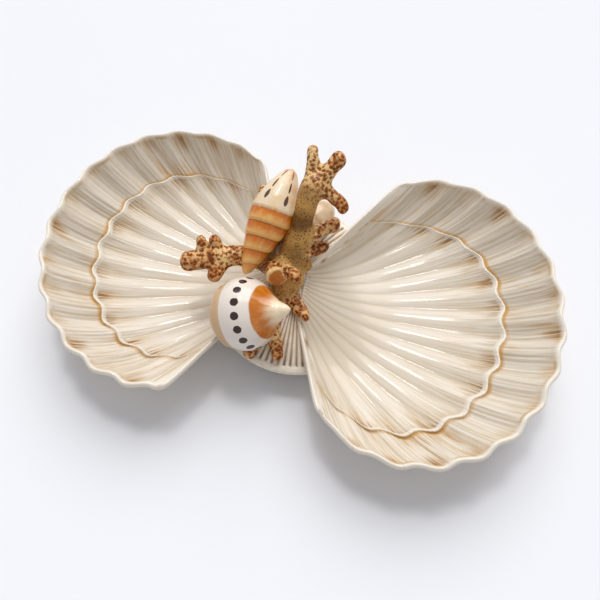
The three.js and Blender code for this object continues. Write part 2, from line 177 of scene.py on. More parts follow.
def thick_sheet(upper: Array, lower: Array, pattern: Array, bulge: float, steps: int = 7) -> Surface:
    """Closed surface of two sheets on one grid, joined by a half-round lip.

    The lip's section at each edge point is half an ellipse from the upper to the lower sheet, which stands
    out level by the bulge, square to the edge.

    Args:
        upper: Upper points, rows by columns by 3, counter-clockwise from above.
        lower: Lower points on the same grid.
        pattern: Pattern coordinates on the same grid, rows by columns by 2.
        bulge: How far the lip stands out, in millimetres.
        steps: Number of strips round the lip.

    Returns:
        The surface, with marks "under" (0 above, 1 below).
    """
    rows, columns = upper.shape[:2]
    edge, count = grid_edge(rows, columns), rows * columns
    top, bottom, flat = upper.reshape(-1, 3), lower.reshape(-1, 3), pattern.reshape(-1, 2)
    along = np.roll(top[edge], -1, 0) - np.roll(top[edge], 1, 0)
    outward = np.stack([along[:, 1], -along[:, 0], np.zeros(len(edge))], -1)
    outward = unit(outward + np.roll(outward, 1, 0) + np.roll(outward, -1, 0))
    share = np.linspace(0, 1, steps + 1)[1:-1]
    turn = np.pi * share[:, None, None]
    middle, half = (top + bottom)[edge] / 2, (top - bottom)[edge] / 2
    lip = middle + half * np.cos(turn) + outward * bulge * np.sin(turn)
    between = 2 * count + np.arange(lip[..., 0].size).reshape(lip.shape[:2])
    ring = np.concatenate([edge[None], between, edge[None] + count])
    following = np.roll(ring, -1, 1)
    strips = np.stack([ring[:-1], ring[1:], following[1:], following[:-1]], -1).reshape(-1, 4)
    quads = grid_quads(rows, columns)
    faces = [quads, quads[:, ::-1] + count, strips]
    everywhere = np.concatenate([flat, flat, np.tile(flat[edge], (steps - 1, 1))])
    under = np.concatenate([np.zeros(count), np.ones(count), np.repeat(share, len(edge))])
    points = np.concatenate([top, bottom, lip.reshape(-1, 3)])
    return Surface(points, faces, [everywhere[part] for part in faces], {"under": under})


def corner_pattern(*pairs: tuple[Array, Array]) -> Array:
    """Pattern coordinates of many like faces, from the across and along values at each of their corners."""
    spread = [np.stack(np.broadcast_arrays(across, along), -1) for across, along in pairs]
    return np.stack(spread, -2).reshape(-1, len(pairs), 2)


def turned_sheet(points: Array, ends: tuple[Array, Array], along: Array) -> Surface:
    """Surface of rings round an axis, with a pole at each end and no gaps.

    Known fault: the sides and the poles are wound opposite ways. Where the rings run clockwise seen along the
    axis, the poles' faces point outward and the sides' inward; the other way round, it is the reverse.

    Args:
        points: Ring points, stations by sides by 3.
        ends: The two poles.
        along: Share of the axis at each station.

    Returns:
        The surface, whose pattern runs once round (0 to 1) and along the axis.
    """
    stations, sides = points.shape[:2]
    side, last = np.arange(sides), (stations - 1) * sides
    following, pole = (side + 1) % sides, np.full(sides, stations * sides)
    faces = [
        grid_quads(stations, sides, wrap=True)[:, ::-1],
        np.stack([following, side, pole], -1),
        np.stack([last + side, last + following, pole + 1], -1),
    ]
    left, right = side / sides, (side + 1) / sides
    middle = (left + right) / 2
    low, high = along[:-1, None], along[1:, None]
    pattern = [
        corner_pattern((left, high), (right, high), (right, low), (left, low)),
        corner_pattern((right, along[0]), (left, along[0]), (middle, along[0])),
        corner_pattern((left, along[-1]), (right, along[-1]), (middle, along[-1])),
    ]
    return Surface(np.concatenate([points.reshape(-1, 3), np.stack(ends)]), faces, pattern)


# Shader maths


def math_method(operation: str, swap: bool = False) -> Callable[..., "Sock"]:
    """Method of Sock that adds one Math node.

    Args:
        operation: The node's operation.
        swap: Whether the other value comes first.

    Returns:
        The method.
    """
    def method(self: "Sock", *others: Any) -> "Sock":
        values = (*others, self) if swap else (self, *others)
        return self.kit.node("ShaderNodeMath", {"operation": operation}, dict(enumerate(values)))

    return method


@dataclass(frozen=True)
class Sock:
    """Output of a shader node that takes part in sums; most gives the larger of two values."""

    kit: "NodeKit"
    socket: bpy.types.NodeSocket | None

    __add__ = math_method("ADD")
    __radd__ = math_method("ADD", swap=True)
    __sub__ = math_method("SUBTRACT")
    __rsub__ = math_method("SUBTRACT", swap=True)
    __mul__ = math_method("MULTIPLY")
    __rmul__ = math_method("MULTIPLY", swap=True)
    __truediv__ = math_method("DIVIDE")
    __pow__ = math_method("POWER")
    fraction = math_method("FRACT")
    cosine = math_method("COSINE")
    most = math_method("MAXIMUM")

    def step(self, low: float, high: float) -> "Sock":
        """Smooth step from 0 at low to 1 at high; high below low steps down."""
        return self.kit.node("ShaderNodeMapRange", {"interpolation_type": "SMOOTHSTEP"},
                             {"Value": self, "From Min": low, "From Max": high})

    def off_whole(self) -> "Sock":
        """How far the value is from the nearest whole number, -0.5 to 0.5."""
        return (self + 0.5).fraction() - 0.5

    def valley(self) -> "Sock":
        """Wave of a rib count: 1 in each furrow and 0 on each crest."""
        return ((self * TURN).cosine() + 1) * 0.5


class NodeKit:
    """A material or a world and the one way that nodes are added to it."""

    def __init__(self, owner: bpy.types.Material | bpy.types.World) -> None:
        """Empties the owner's node tree.

        Args:
            owner: The material or world that nodes are added to.
        """
        self.owner = owner
        owner.use_nodes = True
        self.tree = owner.node_tree
        self.tree.nodes.clear()

    def node(self, kind: str, settings: dict[str, Any] | None = None,
             inputs: dict[int | str, Any] | None = None, output: int | str = 0) -> Sock:
        """Adds a node, sets it, then fills its sockets.

        Args:
            kind: The node's type.
            settings: Its properties.
            inputs: Socket name or number to a value or a Sock.
            output: Which output to return.

        Returns:
            The chosen output.
        """
        made = self.tree.nodes.new(kind)
        for name, value in (settings or {}).items():
            setattr(made, name, value)
        for name, value in (inputs or {}).items():
            socket = made.inputs[name]
            if isinstance(value, Sock):
                self.tree.links.new(value.socket, socket)
            else:
                socket.default_value = (*value, 1) if isinstance(value, tuple) and socket.type == "RGBA" else value
        return Sock(self, made.outputs[output] if made.outputs else None)

    def layers(self, base: Any, *coats: tuple[Any, Any]) -> Any:
        """Lays coats of colour over each other.

        Args:
            base: Colour at the bottom.
            coats: Share and colour of each coat, from the bottom up.

        Returns:
            The colour that is seen.
        """
        for share, colour in coats:
            base = self.node("ShaderNodeMix", {"data_type": "RGBA", "clamp_factor": True},
                             {0: share, 6: base, 7: colour}, 2)
        return base

    def mark(self, name: str) -> Sock:
        """A number held on the mesh's points."""
        return self.node("ShaderNodeAttribute", {"attribute_name": name}, output="Fac")

    def pattern(self) -> tuple[Sock, Sock]:
        """The two pattern coordinates of the surface."""
        split = self.node("ShaderNodeSeparateXYZ", {}, {0: self.node("ShaderNodeUVMap", {"uv_map": "pattern"})})
        return split, Sock(self, split.socket.node.outputs[1])

    def place(self) -> Sock:
        """Object coordinates."""
        return self.node("ShaderNodeTexCoord", output="Object")

    def noise(self, where: Sock, scale: float, detail: float = 2.0, rough: float = 0.5) -> Sock:
        """Cloud noise about 0.5."""
        return self.node("ShaderNodeTexNoise", {},
                         {"Vector": where, "Scale": scale, "Detail": detail, "Roughness": rough})

    def streaks(self, x: Sock, y: Sock, z: float = 0.0, detail: float = 2.0, rough: float = 0.5) -> Sock:
        """Cloud noise on stretched pattern coordinates."""
        return self.noise(self.node("ShaderNodeCombineXYZ", {}, {0: x, 1: y, 2: z}), 1.0, detail, rough)

    def cells(self, where: Sock, scale: float) -> Sock:
        """Distance to the nearest of many scattered points."""
        return self.node("ShaderNodeTexVoronoi", {"feature": "F1"}, {"Vector": where, "Scale": scale}, "Distance")

    def relief(self, height: Sock, depth: float, strength: float) -> Sock:
        """Normal of a fine relief of the given depth in metres."""
        return self.node("ShaderNodeBump", {}, {"Strength": strength, "Distance": depth, "Height": height})

    def finish(self, colour: Any, roughness: Any, normal: Sock | None = None, coat: float = 0.0,
               gloss: float = 0.5) -> bpy.types.Material:
        """Joins colour, roughness and relief into the surface.

        Args:
            colour: Base colour.
            roughness: Roughness.
            normal: Relief, if any.
            coat: Weight of the clear coat.
            gloss: Specular level, 0.5 for common glass.

        Returns:
            The finished material.
        """
        inputs = {"Base Color": colour, "Roughness": roughness, "Coat Weight": coat, "Coat Roughness": 0.06,
                  "Specular IOR Level": gloss}
        if normal is not None:
            inputs["Normal"] = normal
        shader = self.node("ShaderNodeBsdfPrincipled", {}, inputs)
        self.node("ShaderNodeOutputMaterial", {}, {"Surface": shader})
        return self.owner


# Finishes

Paint = tuple[Any, Any, Sock]


@dataclass(frozen=True)
class Finish:
    """A glaze or bare clay, named like its slot in the record.

    Its relief is a depth in metres and a strength, its coat the weight of a clear coat, and its gloss the
    specular level, 0.5 for common glass.
    """

    slot: ClassVar[str]
    relief: ClassVar[tuple[float, float]]
    coat: ClassVar[float] = 0.0
    gloss: ClassVar[float] = 0.5

    def paint(self, kit: NodeKit) -> Paint:
        raise NotImplementedError

    def material(self) -> bpy.types.Material:
        """Makes a new material with this finish.

        Returns:
            The material.
        """
        kit = NodeKit(bpy.data.materials.new(self.slot))
        colour, roughness, height = self.paint(kit)
        return kit.finish(colour, roughness, kit.relief(height, *self.relief), self.coat, self.gloss)


@dataclass(frozen=True)
class IvoryGlaze(Finish):
    """Gloss ivory glaze over the bowls: ochre stain in the furrows, along the step and at the lip, with painted
    shade near the hinge and just inside the step, and a pale rim that is partly painted highlight.
    """

    slot: ClassVar[str] = "ivory_glaze"
    relief: ClassVar[tuple[float, float]] = (0.0005, 0.5)
    gloss: ClassVar[float] = 0.32
    form: "BowlForm"
    ivory: Colour = srgb(230, 220, 205)
    cream: Colour = srgb(226, 211, 189)
    # Stain of the thin lines and furrows, also laid on as painted shade near the hinge and just inside the step
    stain_and_shade: Colour = srgb(172, 149, 106)
    ochre: Colour = srgb(192, 144, 64)
    brown: Colour = srgb(134, 84, 22)
    lip: Colour = srgb(243, 235, 221)

    def paint(self, kit: NodeKit) -> Paint:
        """Paints a bowl on its pattern: ribs across, run from hinge to lip along.

        Args:
            kit: Kit of the empty material.

        Returns:
            Colour, roughness and height.
        """
        across, run = kit.pattern()
        rib, step = across * float(self.form.flutes), self.form.step_at
        under, lip = kit.mark("under"), kit.mark("lip")
        valley = rib.valley()
        cloud = kit.noise(kit.place(), scale=28, detail=3)
        patch = kit.streaks(rib * 0.8, run * 4.0, z=3.7)
        blot = kit.streaks(rib * 2.2, run * 9.0, z=1.3, detail=3, rough=0.6)
        fine = kit.streaks(rib * 11.0, run * 3.0, detail=3, rough=0.6)
        hair = kit.streaks(rib * 19.0, run * 5.0, z=8.0, detail=3, rough=0.65)
        outer = run.step(step - 0.003, step + 0.003)
        inner = 1 - outer
        ragged = run + (blot - 0.5) * 0.1
        centre = across * 2 - 1
        middle = 1 - (centre * centre) ** 2.0
        # Thin stain lines, weighted up just inside the step as painted shade on the inner wall; stain in the
        # furrows; painted shade near the hinge under the coral, where the furrow lines close in
        lines = fine.step(0.47, 0.6) * (0.12 + 0.36 * outer + 0.4 * run.step(0.4, step) * inner)
        furrow = valley ** 6.0 * inner * run.step(0.02, 0.3) * 0.34
        start = (0.4 + 0.6 * valley ** 2.5) * run.step(0.44, 0.04) * 0.52
        # Stain inside the step, the pale ridge, and the stain at its foot
        near_step = (run + (blot - 0.5) * 0.12).step(step - 0.19, step - 0.02) * inner * hair.step(0.4, 0.6)
        dark = ragged.step(step - 0.1, step - 0.015) * inner * valley * patch.step(0.4, 0.54)
        ridge = run.step(step - 0.024, step - 0.016) * inner * middle
        foot = run.step(step - 0.001, step + 0.003) * run.step(step + 0.022, step + 0.005)
        # Stain on the outer band, in its furrows at the lip, and beside the lip
        spread = outer * run.step(step + 0.1, step) * patch.step(0.4, 0.6) * hair.step(0.38, 0.62)
        band = outer * hair.step(0.53, 0.64) * patch.step(0.4, 0.62)
        wedge = ragged.step(0.92, 0.99) * (1 - lip * 0.7) * valley ** 2.0 * hair.step(0.3, 0.58)
        seam = lip * (1 - lip) * 4 * blot.step(0.44, 0.62) * (1 - under)
        colour = kit.layers(
            self.ivory,
            (cloud.step(0.35, 0.75) * 0.6, self.cream),
            # Thin stain lines; their extra weight just inside the step is painted shade
            (lines * 0.75, self.stain_and_shade),
            (hair.step(0.58, 0.7) * outer * 0.6, self.lip),
            # Stain in the furrows, and painted shade near the hinge under the coral
            (furrow.most(start), self.stain_and_shade),
            (near_step * patch.step(0.34, 0.55) * (0.25 + 0.75 * valley) * 0.9, self.ochre),
            (dark * hair.step(0.45, 0.55) * 0.85, self.brown),
            (ridge * 0.9, self.lip),
            (foot * (0.25 + 0.75 * middle) * (0.4 + 0.6 * patch.step(0.3, 0.55)), self.ochre),
            (spread * 0.75, self.ochre),
            (band * 0.62, self.ochre),
            (wedge * (0.3 + 0.7 * patch.step(0.36, 0.56)), self.ochre),
            (wedge * valley ** 2.0 * patch.step(0.44, 0.58) * 0.85, self.brown),
            # The pale rim is partly the glaze's own paler edge and partly a painted highlight along the lip
            (lip * 0.85 * (1 - wedge * 0.5), self.lip),
            (seam * 0.6, self.ochre),
            (under * 0.9, self.cream),
        )
        height = fine * (0.25 + 0.75 * outer) * (1 - lip) * (1 - under) + cloud * 0.15
        roughness = 0.07 + 0.06 * cloud + 0.14 * outer * (1 - lip)
        return colour, roughness, height


@dataclass(frozen=True)
class SaddleGlaze(Finish):
    """Cream glaze over the saddle, with brown stain between the ribs and at their ends.

    The ribs are counted across the pattern, and the smooth lip starts at a share of the run along it.
    """

    slot: ClassVar[str] = "saddle_glaze"
    relief: ClassVar[tuple[float, float]] = (0.0004, 0.3)
    coat: ClassVar[float] = 0.2
    ribs: float
    lip_at: float
    cream: Colour = srgb(239, 228, 209)
    shade: Colour = srgb(214, 196, 168)
    tan: Colour = srgb(150, 110, 64)
    brown: Colour = srgb(104, 64, 30)

    def paint(self, kit: NodeKit) -> Paint:
        """Paints a piece of the saddle on its pattern: ribs across, run from centre to lip along.

        Args:
            kit: Kit of the empty material.

        Returns:
            Colour, roughness and height.
        """
        across, run = kit.pattern()
        valley = (across * self.ribs).valley()
        mottle = kit.streaks(across * (0.9 * self.ribs), run * 4.0, detail=3)
        grain = kit.noise(kit.place(), scale=260, detail=3)
        ribbed = run.step(self.lip_at + 0.03, self.lip_at - 0.03)
        ends = run.step(self.lip_at - 0.16, self.lip_at) * ribbed * valley ** 1.5 * mottle.step(0.35, 0.6)
        colour = kit.layers(
            self.cream,
            (grain.step(0.4, 0.75) * 0.5, self.shade),
            (valley ** 2.0 * ribbed * (0.5 + 0.6 * mottle), self.tan),
            (ends * 0.85, self.brown),
        )
        return colour, 0.14 + 0.12 * grain, grain


@dataclass(frozen=True)
class CoralGlaze(Finish):
    """Satin tan glaze on the coral: flecked trunk, pale twigs mottled with brown, amber tips."""

    slot: ClassVar[str] = "coral_glaze"
    relief: ClassVar[tuple[float, float]] = (0.0007, 0.6)
    gloss: ClassVar[float] = 0.2
    clay: Colour = srgb(116, 74, 22)
    sand: Colour = srgb(196, 148, 78)
    pale: Colour = srgb(253, 218, 156)
    amber: Colour = srgb(190, 104, 22)
    umber: Colour = srgb(112, 50, 6)
    face: Colour = srgb(196, 112, 24)
    fleck: Colour = srgb(72, 38, 10)

    def paint(self, kit: NodeKit) -> Paint:
        """Paints the coral on its mark "tip": 0 on the trunk, 1 at a twig's end, more on a cut face.

        Args:
            kit: Kit of the empty material.

        Returns:
            Colour, roughness and height.
        """
        where, tip = kit.place(), kit.mark("tip")
        cloud = kit.noise(where, scale=70, detail=3)
        blotch = kit.noise(where, scale=420)
        spot = kit.cells(where, scale=390) + (blotch - 0.5) * 1.3 - (cloud - 0.5) * 0.8
        twig = tip.step(0.3, 0.6)
        mottle = (spot - tip * 0.08).step(0.62, 0.42) * twig
        dots = kit.cells(where, scale=640).step(0.42, 0.26) * kit.noise(where, scale=230).step(0.34, 0.5)
        colour = kit.layers(
            self.clay,
            ((tip + cloud * 0.25 - 0.07).step(0.0, 0.35), self.sand),
            ((tip + cloud * 0.4 - 0.2).step(0.3, 0.75), self.pale),
            ((tip + cloud * 1.1 - 0.55).step(0.5, 1.0) * 0.55, self.amber),
            (mottle * 0.85, self.amber),
            (mottle * spot.step(0.46, 0.28) * 0.9, self.umber),
            (dots * (0.8 - 0.4 * twig), self.fleck),
            (tip.step(1.08, 1.16) * 0.75, self.pale),
            ((tip + (cloud - 0.5) * 0.1).step(1.3, 1.36) * 0.9, self.face),
        )
        height = (1 - mottle) + blotch * 0.6 - dots * 0.4
        return colour, 0.12 + 0.14 * blotch, height


@dataclass(frozen=True)
class BandedGlaze(Finish):
    """Gloss glaze on the spindle shell: cream body with dark dashes, orange-brown spire."""

    slot: ClassVar[str] = "banded_glaze"
    relief: ClassVar[tuple[float, float]] = (0.0004, 0.25)
    gloss: ClassVar[float] = 0.4
    shell: "SpindleShell"
    cream: Colour = srgb(242, 220, 188)
    sand: Colour = srgb(242, 186, 104)
    orange: Colour = srgb(212, 112, 8)
    brown: Colour = srgb(150, 66, 4)
    dash: Colour = srgb(70, 34, 14)

    def paint(self, kit: NodeKit) -> Paint:
        """Paints the shell on its pattern: turn across, axis along.

        Args:
            kit: Kit of the empty material.

        Returns:
            Colour, roughness and height.
        """
        shell = self.shell
        turn, along = kit.pattern()
        cloud = kit.noise(kit.place(), scale=160, detail=3)
        brush = kit.streaks(turn * 34.0, along * 12.0, detail=3, rough=0.6)
        fade = ((along - shell.tip_share) / shell.whorl_share - turn).fraction()
        # On each whorl the sand shoulder is partly a painted highlight where the crest catches light, the orange
        # is the shell's band, and the brown just before the next suture is partly painted shadow in the suture
        spire = kit.layers(
            self.sand,
            ((fade + (brush - 0.5) * 0.7 + (cloud - 0.5) * 0.6).step(0.1, 0.8), self.orange),
            ((fade + (brush - 0.5) * 0.4).step(0.8, 1.0) * 0.7, self.brown),
            (along.step(0.2, 0.05) * 0.45, self.sand),
        )
        body = kit.layers(
            self.cream,
            (cloud.step(0.4, 0.7) * 0.4, self.sand),
            ((along + (cloud - 0.5) * 0.2).step(0.9, 1.02) * 0.6, self.orange),
        )
        start = along - turn.off_whole() * shell.whorl_share + (brush - 0.5) * 0.07
        row = ((turn - shell.dash_turn) * shell.dash_rows).off_whole()
        beat = ((along - shell.dash_start) / shell.dash_pitch).off_whole()
        wobble = (kit.streaks(turn * 20.0, along * 20.0) - 0.5) * 0.12
        slim = 16.0 + 26.0 * along.step(shell.body_at + 0.1, shell.body_at + 0.24)
        dash = ((row * row * slim + beat * beat) ** 0.5 + wobble).step(0.43, 0.37)
        dash = dash * along.step(shell.body_at + 0.04, shell.body_at + 0.05) * along.step(0.985, 0.97)
        colour = kit.layers(body, (start.step(shell.body_at + 0.03, shell.body_at - 0.02), spire),
                            (dash * 0.95, self.dash))
        fine = kit.streaks(turn * 26.0, along * 90.0)
        return colour, 0.12 + 0.08 * cloud, fine + cloud


@dataclass(frozen=True)
class SpottedGlaze(Finish):
    """Gloss glaze on the snail shell: peach mouth, white band with dark spots, orange band, cream point."""

    slot: ClassVar[str] = "spotted_glaze"
    relief: ClassVar[tuple[float, float]] = (0.0004, 0.12)
    gloss: ClassVar[float] = 0.45
    shell: "SnailShell"
    white: Colour = srgb(239, 228, 216)
    peach: Colour = srgb(214, 178, 138)
    moss: Colour = srgb(128, 122, 96)
    orange: Colour = srgb(198, 110, 14)
    amber: Colour = srgb(222, 152, 72)
    cream: Colour = srgb(250, 228, 194)
    spot: Colour = srgb(50, 18, 6)

    def paint(self, kit: NodeKit) -> Paint:
        """Paints the shell on its pattern: turn across, axis along.

        Args:
            kit: Kit of the empty material.

        Returns:
            Colour, roughness and height.
        """
        shell = self.shell
        turn, along = kit.pattern()
        cloud = kit.noise(kit.place(), scale=120, detail=3)
        smear = kit.streaks(turn * 18.0, along * 7.0, detail=3)
        edge = along + (cloud - 0.5) * 0.02
        wash = (along + (smear - 0.5) * 0.14).step(shell.band_end + 0.06, shell.band_end + 0.21)
        tail = kit.layers(self.orange, (wash, self.cream), (smear.step(0.45, 0.7) * (1 - wash) * 0.55, self.amber))
        level = (along - shell.spot_at) * shell.length
        reach = ((turn - shell.spot_turn) * shell.spots).off_whole() * (TURN * shell.radius / shell.spots)
        ragged = kit.streaks(turn * 30.0, along * 30.0) - 0.5
        distance = (reach * reach + level * level * 1.25) ** 0.5 + ragged * 1.1
        colour = kit.layers(
            self.white,
            (edge.step(shell.band_start + 0.006, shell.band_start - 0.006), self.peach),
            (edge.step(0.16, 0.1) * 0.75, self.moss),
            (edge.step(0.08, 0.03) * 0.8, self.peach),
            (edge.step(shell.band_end - 0.006, shell.band_end + 0.006), tail),
            (distance.step(shell.spot_radius + 0.22, shell.spot_radius - 0.22), self.spot),
        )
        return colour, 0.08 + 0.05 * cloud, cloud


@dataclass(frozen=True)
class BlushGlaze(Finish):
    """Gloss pale pinkish cream glaze on the rear shell, with a soft tan end."""

    slot: ClassVar[str] = "blush_glaze"
    relief: ClassVar[tuple[float, float]] = (0.0003, 0.25)
    coat: ClassVar[float] = 0.35
    cream: Colour = srgb(219, 193, 154)
    blush: Colour = srgb(204, 158, 116)
    tan: Colour = srgb(176, 124, 74)

    def paint(self, kit: NodeKit) -> Paint:
        """Paints the shell on its pattern: turn across, axis along.

        Args:
            kit: Kit of the empty material.

        Returns:
            Colour, roughness and height.
        """
        turn, along = kit.pattern()
        cloud = kit.noise(kit.place(), scale=110, detail=3)
        growth = kit.streaks(turn * 3.0, along * 46.0)
        colour = kit.layers(
            self.cream,
            (cloud.step(0.4, 0.66) * 0.8, self.blush),
            (growth.step(0.55, 0.75) * 0.4, self.blush),
            ((along + cloud * 0.2).step(0.42, 0.18) * 0.8, self.tan),
        )
        return colour, 0.12 + 0.1 * cloud, growth


@dataclass(frozen=True)
class BareClay(Finish):
    """Unglazed fired clay of the foot rings: fine grain, a faint grey scuff."""

    slot: ClassVar[str] = "bare_clay"
    relief: ClassVar[tuple[float, float]] = (0.0003, 0.5)
    clay: Colour = srgb(232, 224, 208)
    scuff: Colour = srgb(190, 178, 158)

    def paint(self, kit: NodeKit) -> Paint:
        """Paints the clay on object coordinates.

        Args:
            kit: Kit of the empty material.

        Returns:
            Colour, roughness and height.
        """
        grain = kit.noise(kit.place(), scale=900, detail=4, rough=0.7)
        cloud = kit.noise(kit.place(), scale=60, detail=3)
        colour = kit.layers(self.clay, (cloud.step(0.42, 0.7) * 0.7 + grain * 0.2, self.scuff))
        return colour, 0.7 + 0.2 * grain, grain


# Pieces


@dataclass
class Piece:
    """A visible piece that stands for one or more solids."""

    node: str
    ending: ClassVar[str] = "glazed"

    def solids(self) -> list[str]:
        """Names of the solids that the piece stands for."""
        return [self.node]

    def finish(self) -> Finish:
        """The piece's glaze or clay."""
        raise NotImplementedError

    def surface(self) -> Surface:
        """The piece's closed surface, in millimetres in the drawing's frame."""
        raise NotImplementedError

    def build(self, shift: Array) -> bpy.types.Object:
        """Writes the piece's mesh, dresses it and puts it in the place of its solids.

        Args:
            shift: Shift from the drawing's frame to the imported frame, in millimetres.

        Returns:
            The piece's object.
        """
        nodes, finish = self.solids(), self.finish()
        piece = self.surface().to_object(f"{self.node}_{self.ending}", shift)
        piece.data.materials.append(finish.material())
        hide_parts(*nodes)
        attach(piece, "root")
        LOG.info("%s: %d faces for %s", piece.name, len(piece.data.polygons), ", ".join(nodes))
        return piece


@dataclass(frozen=True)
class BowlForm:
    """Sizes that both bowls share, in millimetres; places along a rib are shares of its run."""

    hinge_offset: float = 12
    hinge_half_width: float = 18
    hinge_height: float = 36
    corner_height: float = 43
    tip_height: float = 48
    floor_height: float = 12
    deepest: float = 0.42
    rise_power: float = 3.4
    fall_power: float = 2.2
    corner_round: float = 3
    wall: float = 5
    lip_bulge: float = 2.0
    lip_bead: float = 0.85
    flutes: int = 15
    rib_start: float = 0.4
    rib_height: float = 1.5
    rib_round: tuple[float, float] = (0.55, 0.85)
    rib_sink: float = 0.6
    wave_height: float = 3.0
    wave_ease: float = 0.05
    wave_end: float = 0.985
    lip_wave: float = 1.4
    scallop_depth: float = 3.2
    step_at: float = 0.81
    step_bend: float = 0.26
    step_wave: float = 0.004
    step_height: float = 1.8
    step_half: float = 0.004
    bead_height: float = 1.05
    bead_inset: float = 0.009
    bead_width: float = 0.0075
    lip_bead_at: float = 0.993
    lip_bead_width: float = 0.008
    side_bead_at: float = 0.984
    side_bead_width: float = 0.017
    side_depth: float = 0.15
    line_depth: float = 0.3
    lines_per_rib: tuple[float, float] = (5, 8.3)
    line_fade: float = 0.35
    line_grow: float = 0.03
    line_start: float = 0.5
    line_end: float = 0.95
    pale_lip: tuple[float, float] = (0.982, 0.994)
    pale_side: tuple[float, float] = (0.95, 0.967)
    pale_hinge: float = 0.012
    columns_per_flute: int = 28
    rows: tuple[int, int, int] = (34, 20, 30)
    close_rows: tuple[float, float] = (-0.022, 0.014)


@dataclass
class ScallopBowl(Piece):
    """One fluted bowl: a fan of ribs about its apex, opening along +X before it is turned and placed.

    In its formulas u is the share across the fan, -1 to 1, and t the share along the run, 0 at the hinge
    and 1 at the lip. A row is a share like t whose line of equal values follows the step.
    """

    reach: float
    half_width: float
    fan_angle: float
    fan_skew: float
    corner_bulge: float
    apex: tuple[float, float]
    turn: float
    form: BowlForm = BowlForm()

    def finish(self) -> Finish:
        """Ivory glaze."""
        return IvoryGlaze(self.form)

    def furrow(self, u: Array) -> Array:
        """cos(2 pi p) of the rib count p: +1 in a furrow, -1 on a rib's crest."""
        return np.cos(np.pi * self.form.flutes * (u + 1))

    def flat(self, u: Array, t: Array) -> Array:
        """Plan point on the line from the hinge to the lip.

        The lip's radius at angle a is reach cos a / (cos^2 a + (s sin a)^2), with s = reach / 2 / half width,
        plus a bulge that grows with u^6 toward the corners, less a scallop wave.

        Args:
            u: Share across the fan.
            t: Share along the run.

        Returns:
            Plan points, shaped like u and t with 2 added.
        """
        form = self.form
        angle = np.radians(self.fan_skew + self.fan_angle * u)
        across = np.sin(angle) * self.reach / 2 / self.half_width
        radius = self.reach * np.cos(angle) / (np.cos(angle) ** 2 + across ** 2) + self.corner_bulge * u ** 6
        radius = radius - form.scallop_depth * (1 - self.furrow(u)) / 2
        x = mix(form.hinge_offset, radius * np.cos(angle), t)
        y = mix(form.hinge_half_width * u, radius * np.sin(angle), t)
        return np.stack([x, y], -1)

    def centre(self) -> Array:
        """Plan point of the deepest part."""
        return self.flat(np.array(0.0), np.array(self.form.deepest))

    def plan(self, u: Array, t: Array) -> Array:
        """Plan point with the corners pulled in toward the middle of the bowl, by |ut|^24."""
        point, pull = self.flat(u, t), self.form.corner_round * np.abs(u * t) ** 24
        return point + unit(self.centre() - point) * pull[..., None]

    def run(self, u: Array, row: Array) -> Array:
        """Share of the run at a row, which bends with the step.

        The step waves with the ribs and turns in toward the hinge at the straight sides, as u^4.

        Args:
            u: Share across the fan.
            row: Row share.

        Returns:
            Shares of the run.
        """
        form = self.form
        step = form.step_at - form.step_bend * u ** 4 + form.step_wave * self.furrow(u) * (1 - u ** 4)
        outer = mix(step, 1, (row - form.step_at) / (1 - form.step_at))
        return np.where(row < form.step_at, row / form.step_at * step, outer)

    def cup(self, u: Array, t: Array) -> Array:
        """Height of the plain bowl: a lip that rises from hinge to tip, less a hollow.

        The hollow is 1 - s^3.4 from the deepest part toward the lip, 1 - s^2.2 toward the hinge, and fades
        as 1 - u^6 toward the straight sides.

        Args:
            u: Share across the fan.
            t: Share along the run.

        Returns:
            Heights in millimetres.
        """
        form = self.form
        lip = mix(form.hinge_height, mix(form.tip_height, form.corner_height, u * u), t)
        depth = mix(form.hinge_height, form.tip_height, form.deepest) - form.floor_height
        rise = np.clip((t - form.deepest) / (1 - form.deepest), 0, 1) ** form.rise_power
        fall = np.clip((form.deepest - t) / form.deepest, 0, 1) ** form.fall_power
        return lip - depth * (1 - rise - fall) * (1 - u ** 6) * (1 + form.side_depth * u * u)

    def relief(self, u: Array, row: Array) -> Array:
        """Height of ribs, step, bead and fine lines over the plain bowl.

        Across p ribs, w = (1 - cos(2 pi p)) / 2 is 0 in a furrow and 1 on a crest. Inside the step the ribs
        are w^0.55 near the hinge, with sharp furrows, and w^0.85 near the step; outside it they are plain waves
        w with fine lines. The inner layer ends in a bell-shaped bead and drops by the step's height.

        Args:
            u: Share across the fan.
            row: Row share.

        Returns:
            Heights in millimetres.
        """
        form = self.form
        count = form.flutes * (u + 1) / 2
        inward = np.clip(row / form.step_at, 0, 1)
        outer = smooth(row, form.step_at - form.step_half, form.step_at + form.step_half)
        wave = (1 - self.furrow(u)) / 2
        pillow = wave ** mix(*form.rib_round, inward) - form.rib_sink
        pillow = pillow * mix(form.rib_start, form.rib_height, inward ** 2)
        ease = smooth(row, form.step_at + form.wave_ease, form.wave_end)
        wave = (wave - 0.5) * mix(form.wave_height, form.lip_wave, ease)
        coarse, close = (TURN * lines * count for lines in form.lines_per_rib)
        grown = smooth(row, form.step_at, form.step_at + form.line_grow)
        fine = np.sin(coarse + 2 * np.sin(1.7 * count)) + np.sin(close)
        fine = fine * form.line_depth * mix(form.line_fade, 1, grown)
        fine = fine * smooth(row, form.line_start, form.step_at) * (1 - smooth(row, form.line_end, form.wave_end))
        step = form.step_height * inward ** 4 * (1 - outer)
        bead = form.bead_height * bump(row, form.step_at - form.bead_inset, form.bead_width)
        lip = bump(row, form.lip_bead_at, form.lip_bead_width) * (1 - np.abs(u) ** 40)
        lip = lip + bump(np.abs(u), form.side_bead_at, form.side_bead_width)
        ribs = mix(pillow, wave, outer) + fine
        return ribs * (1 - u ** 8) + (step + bead) * (1 - u ** 4) + lip * form.lip_bead

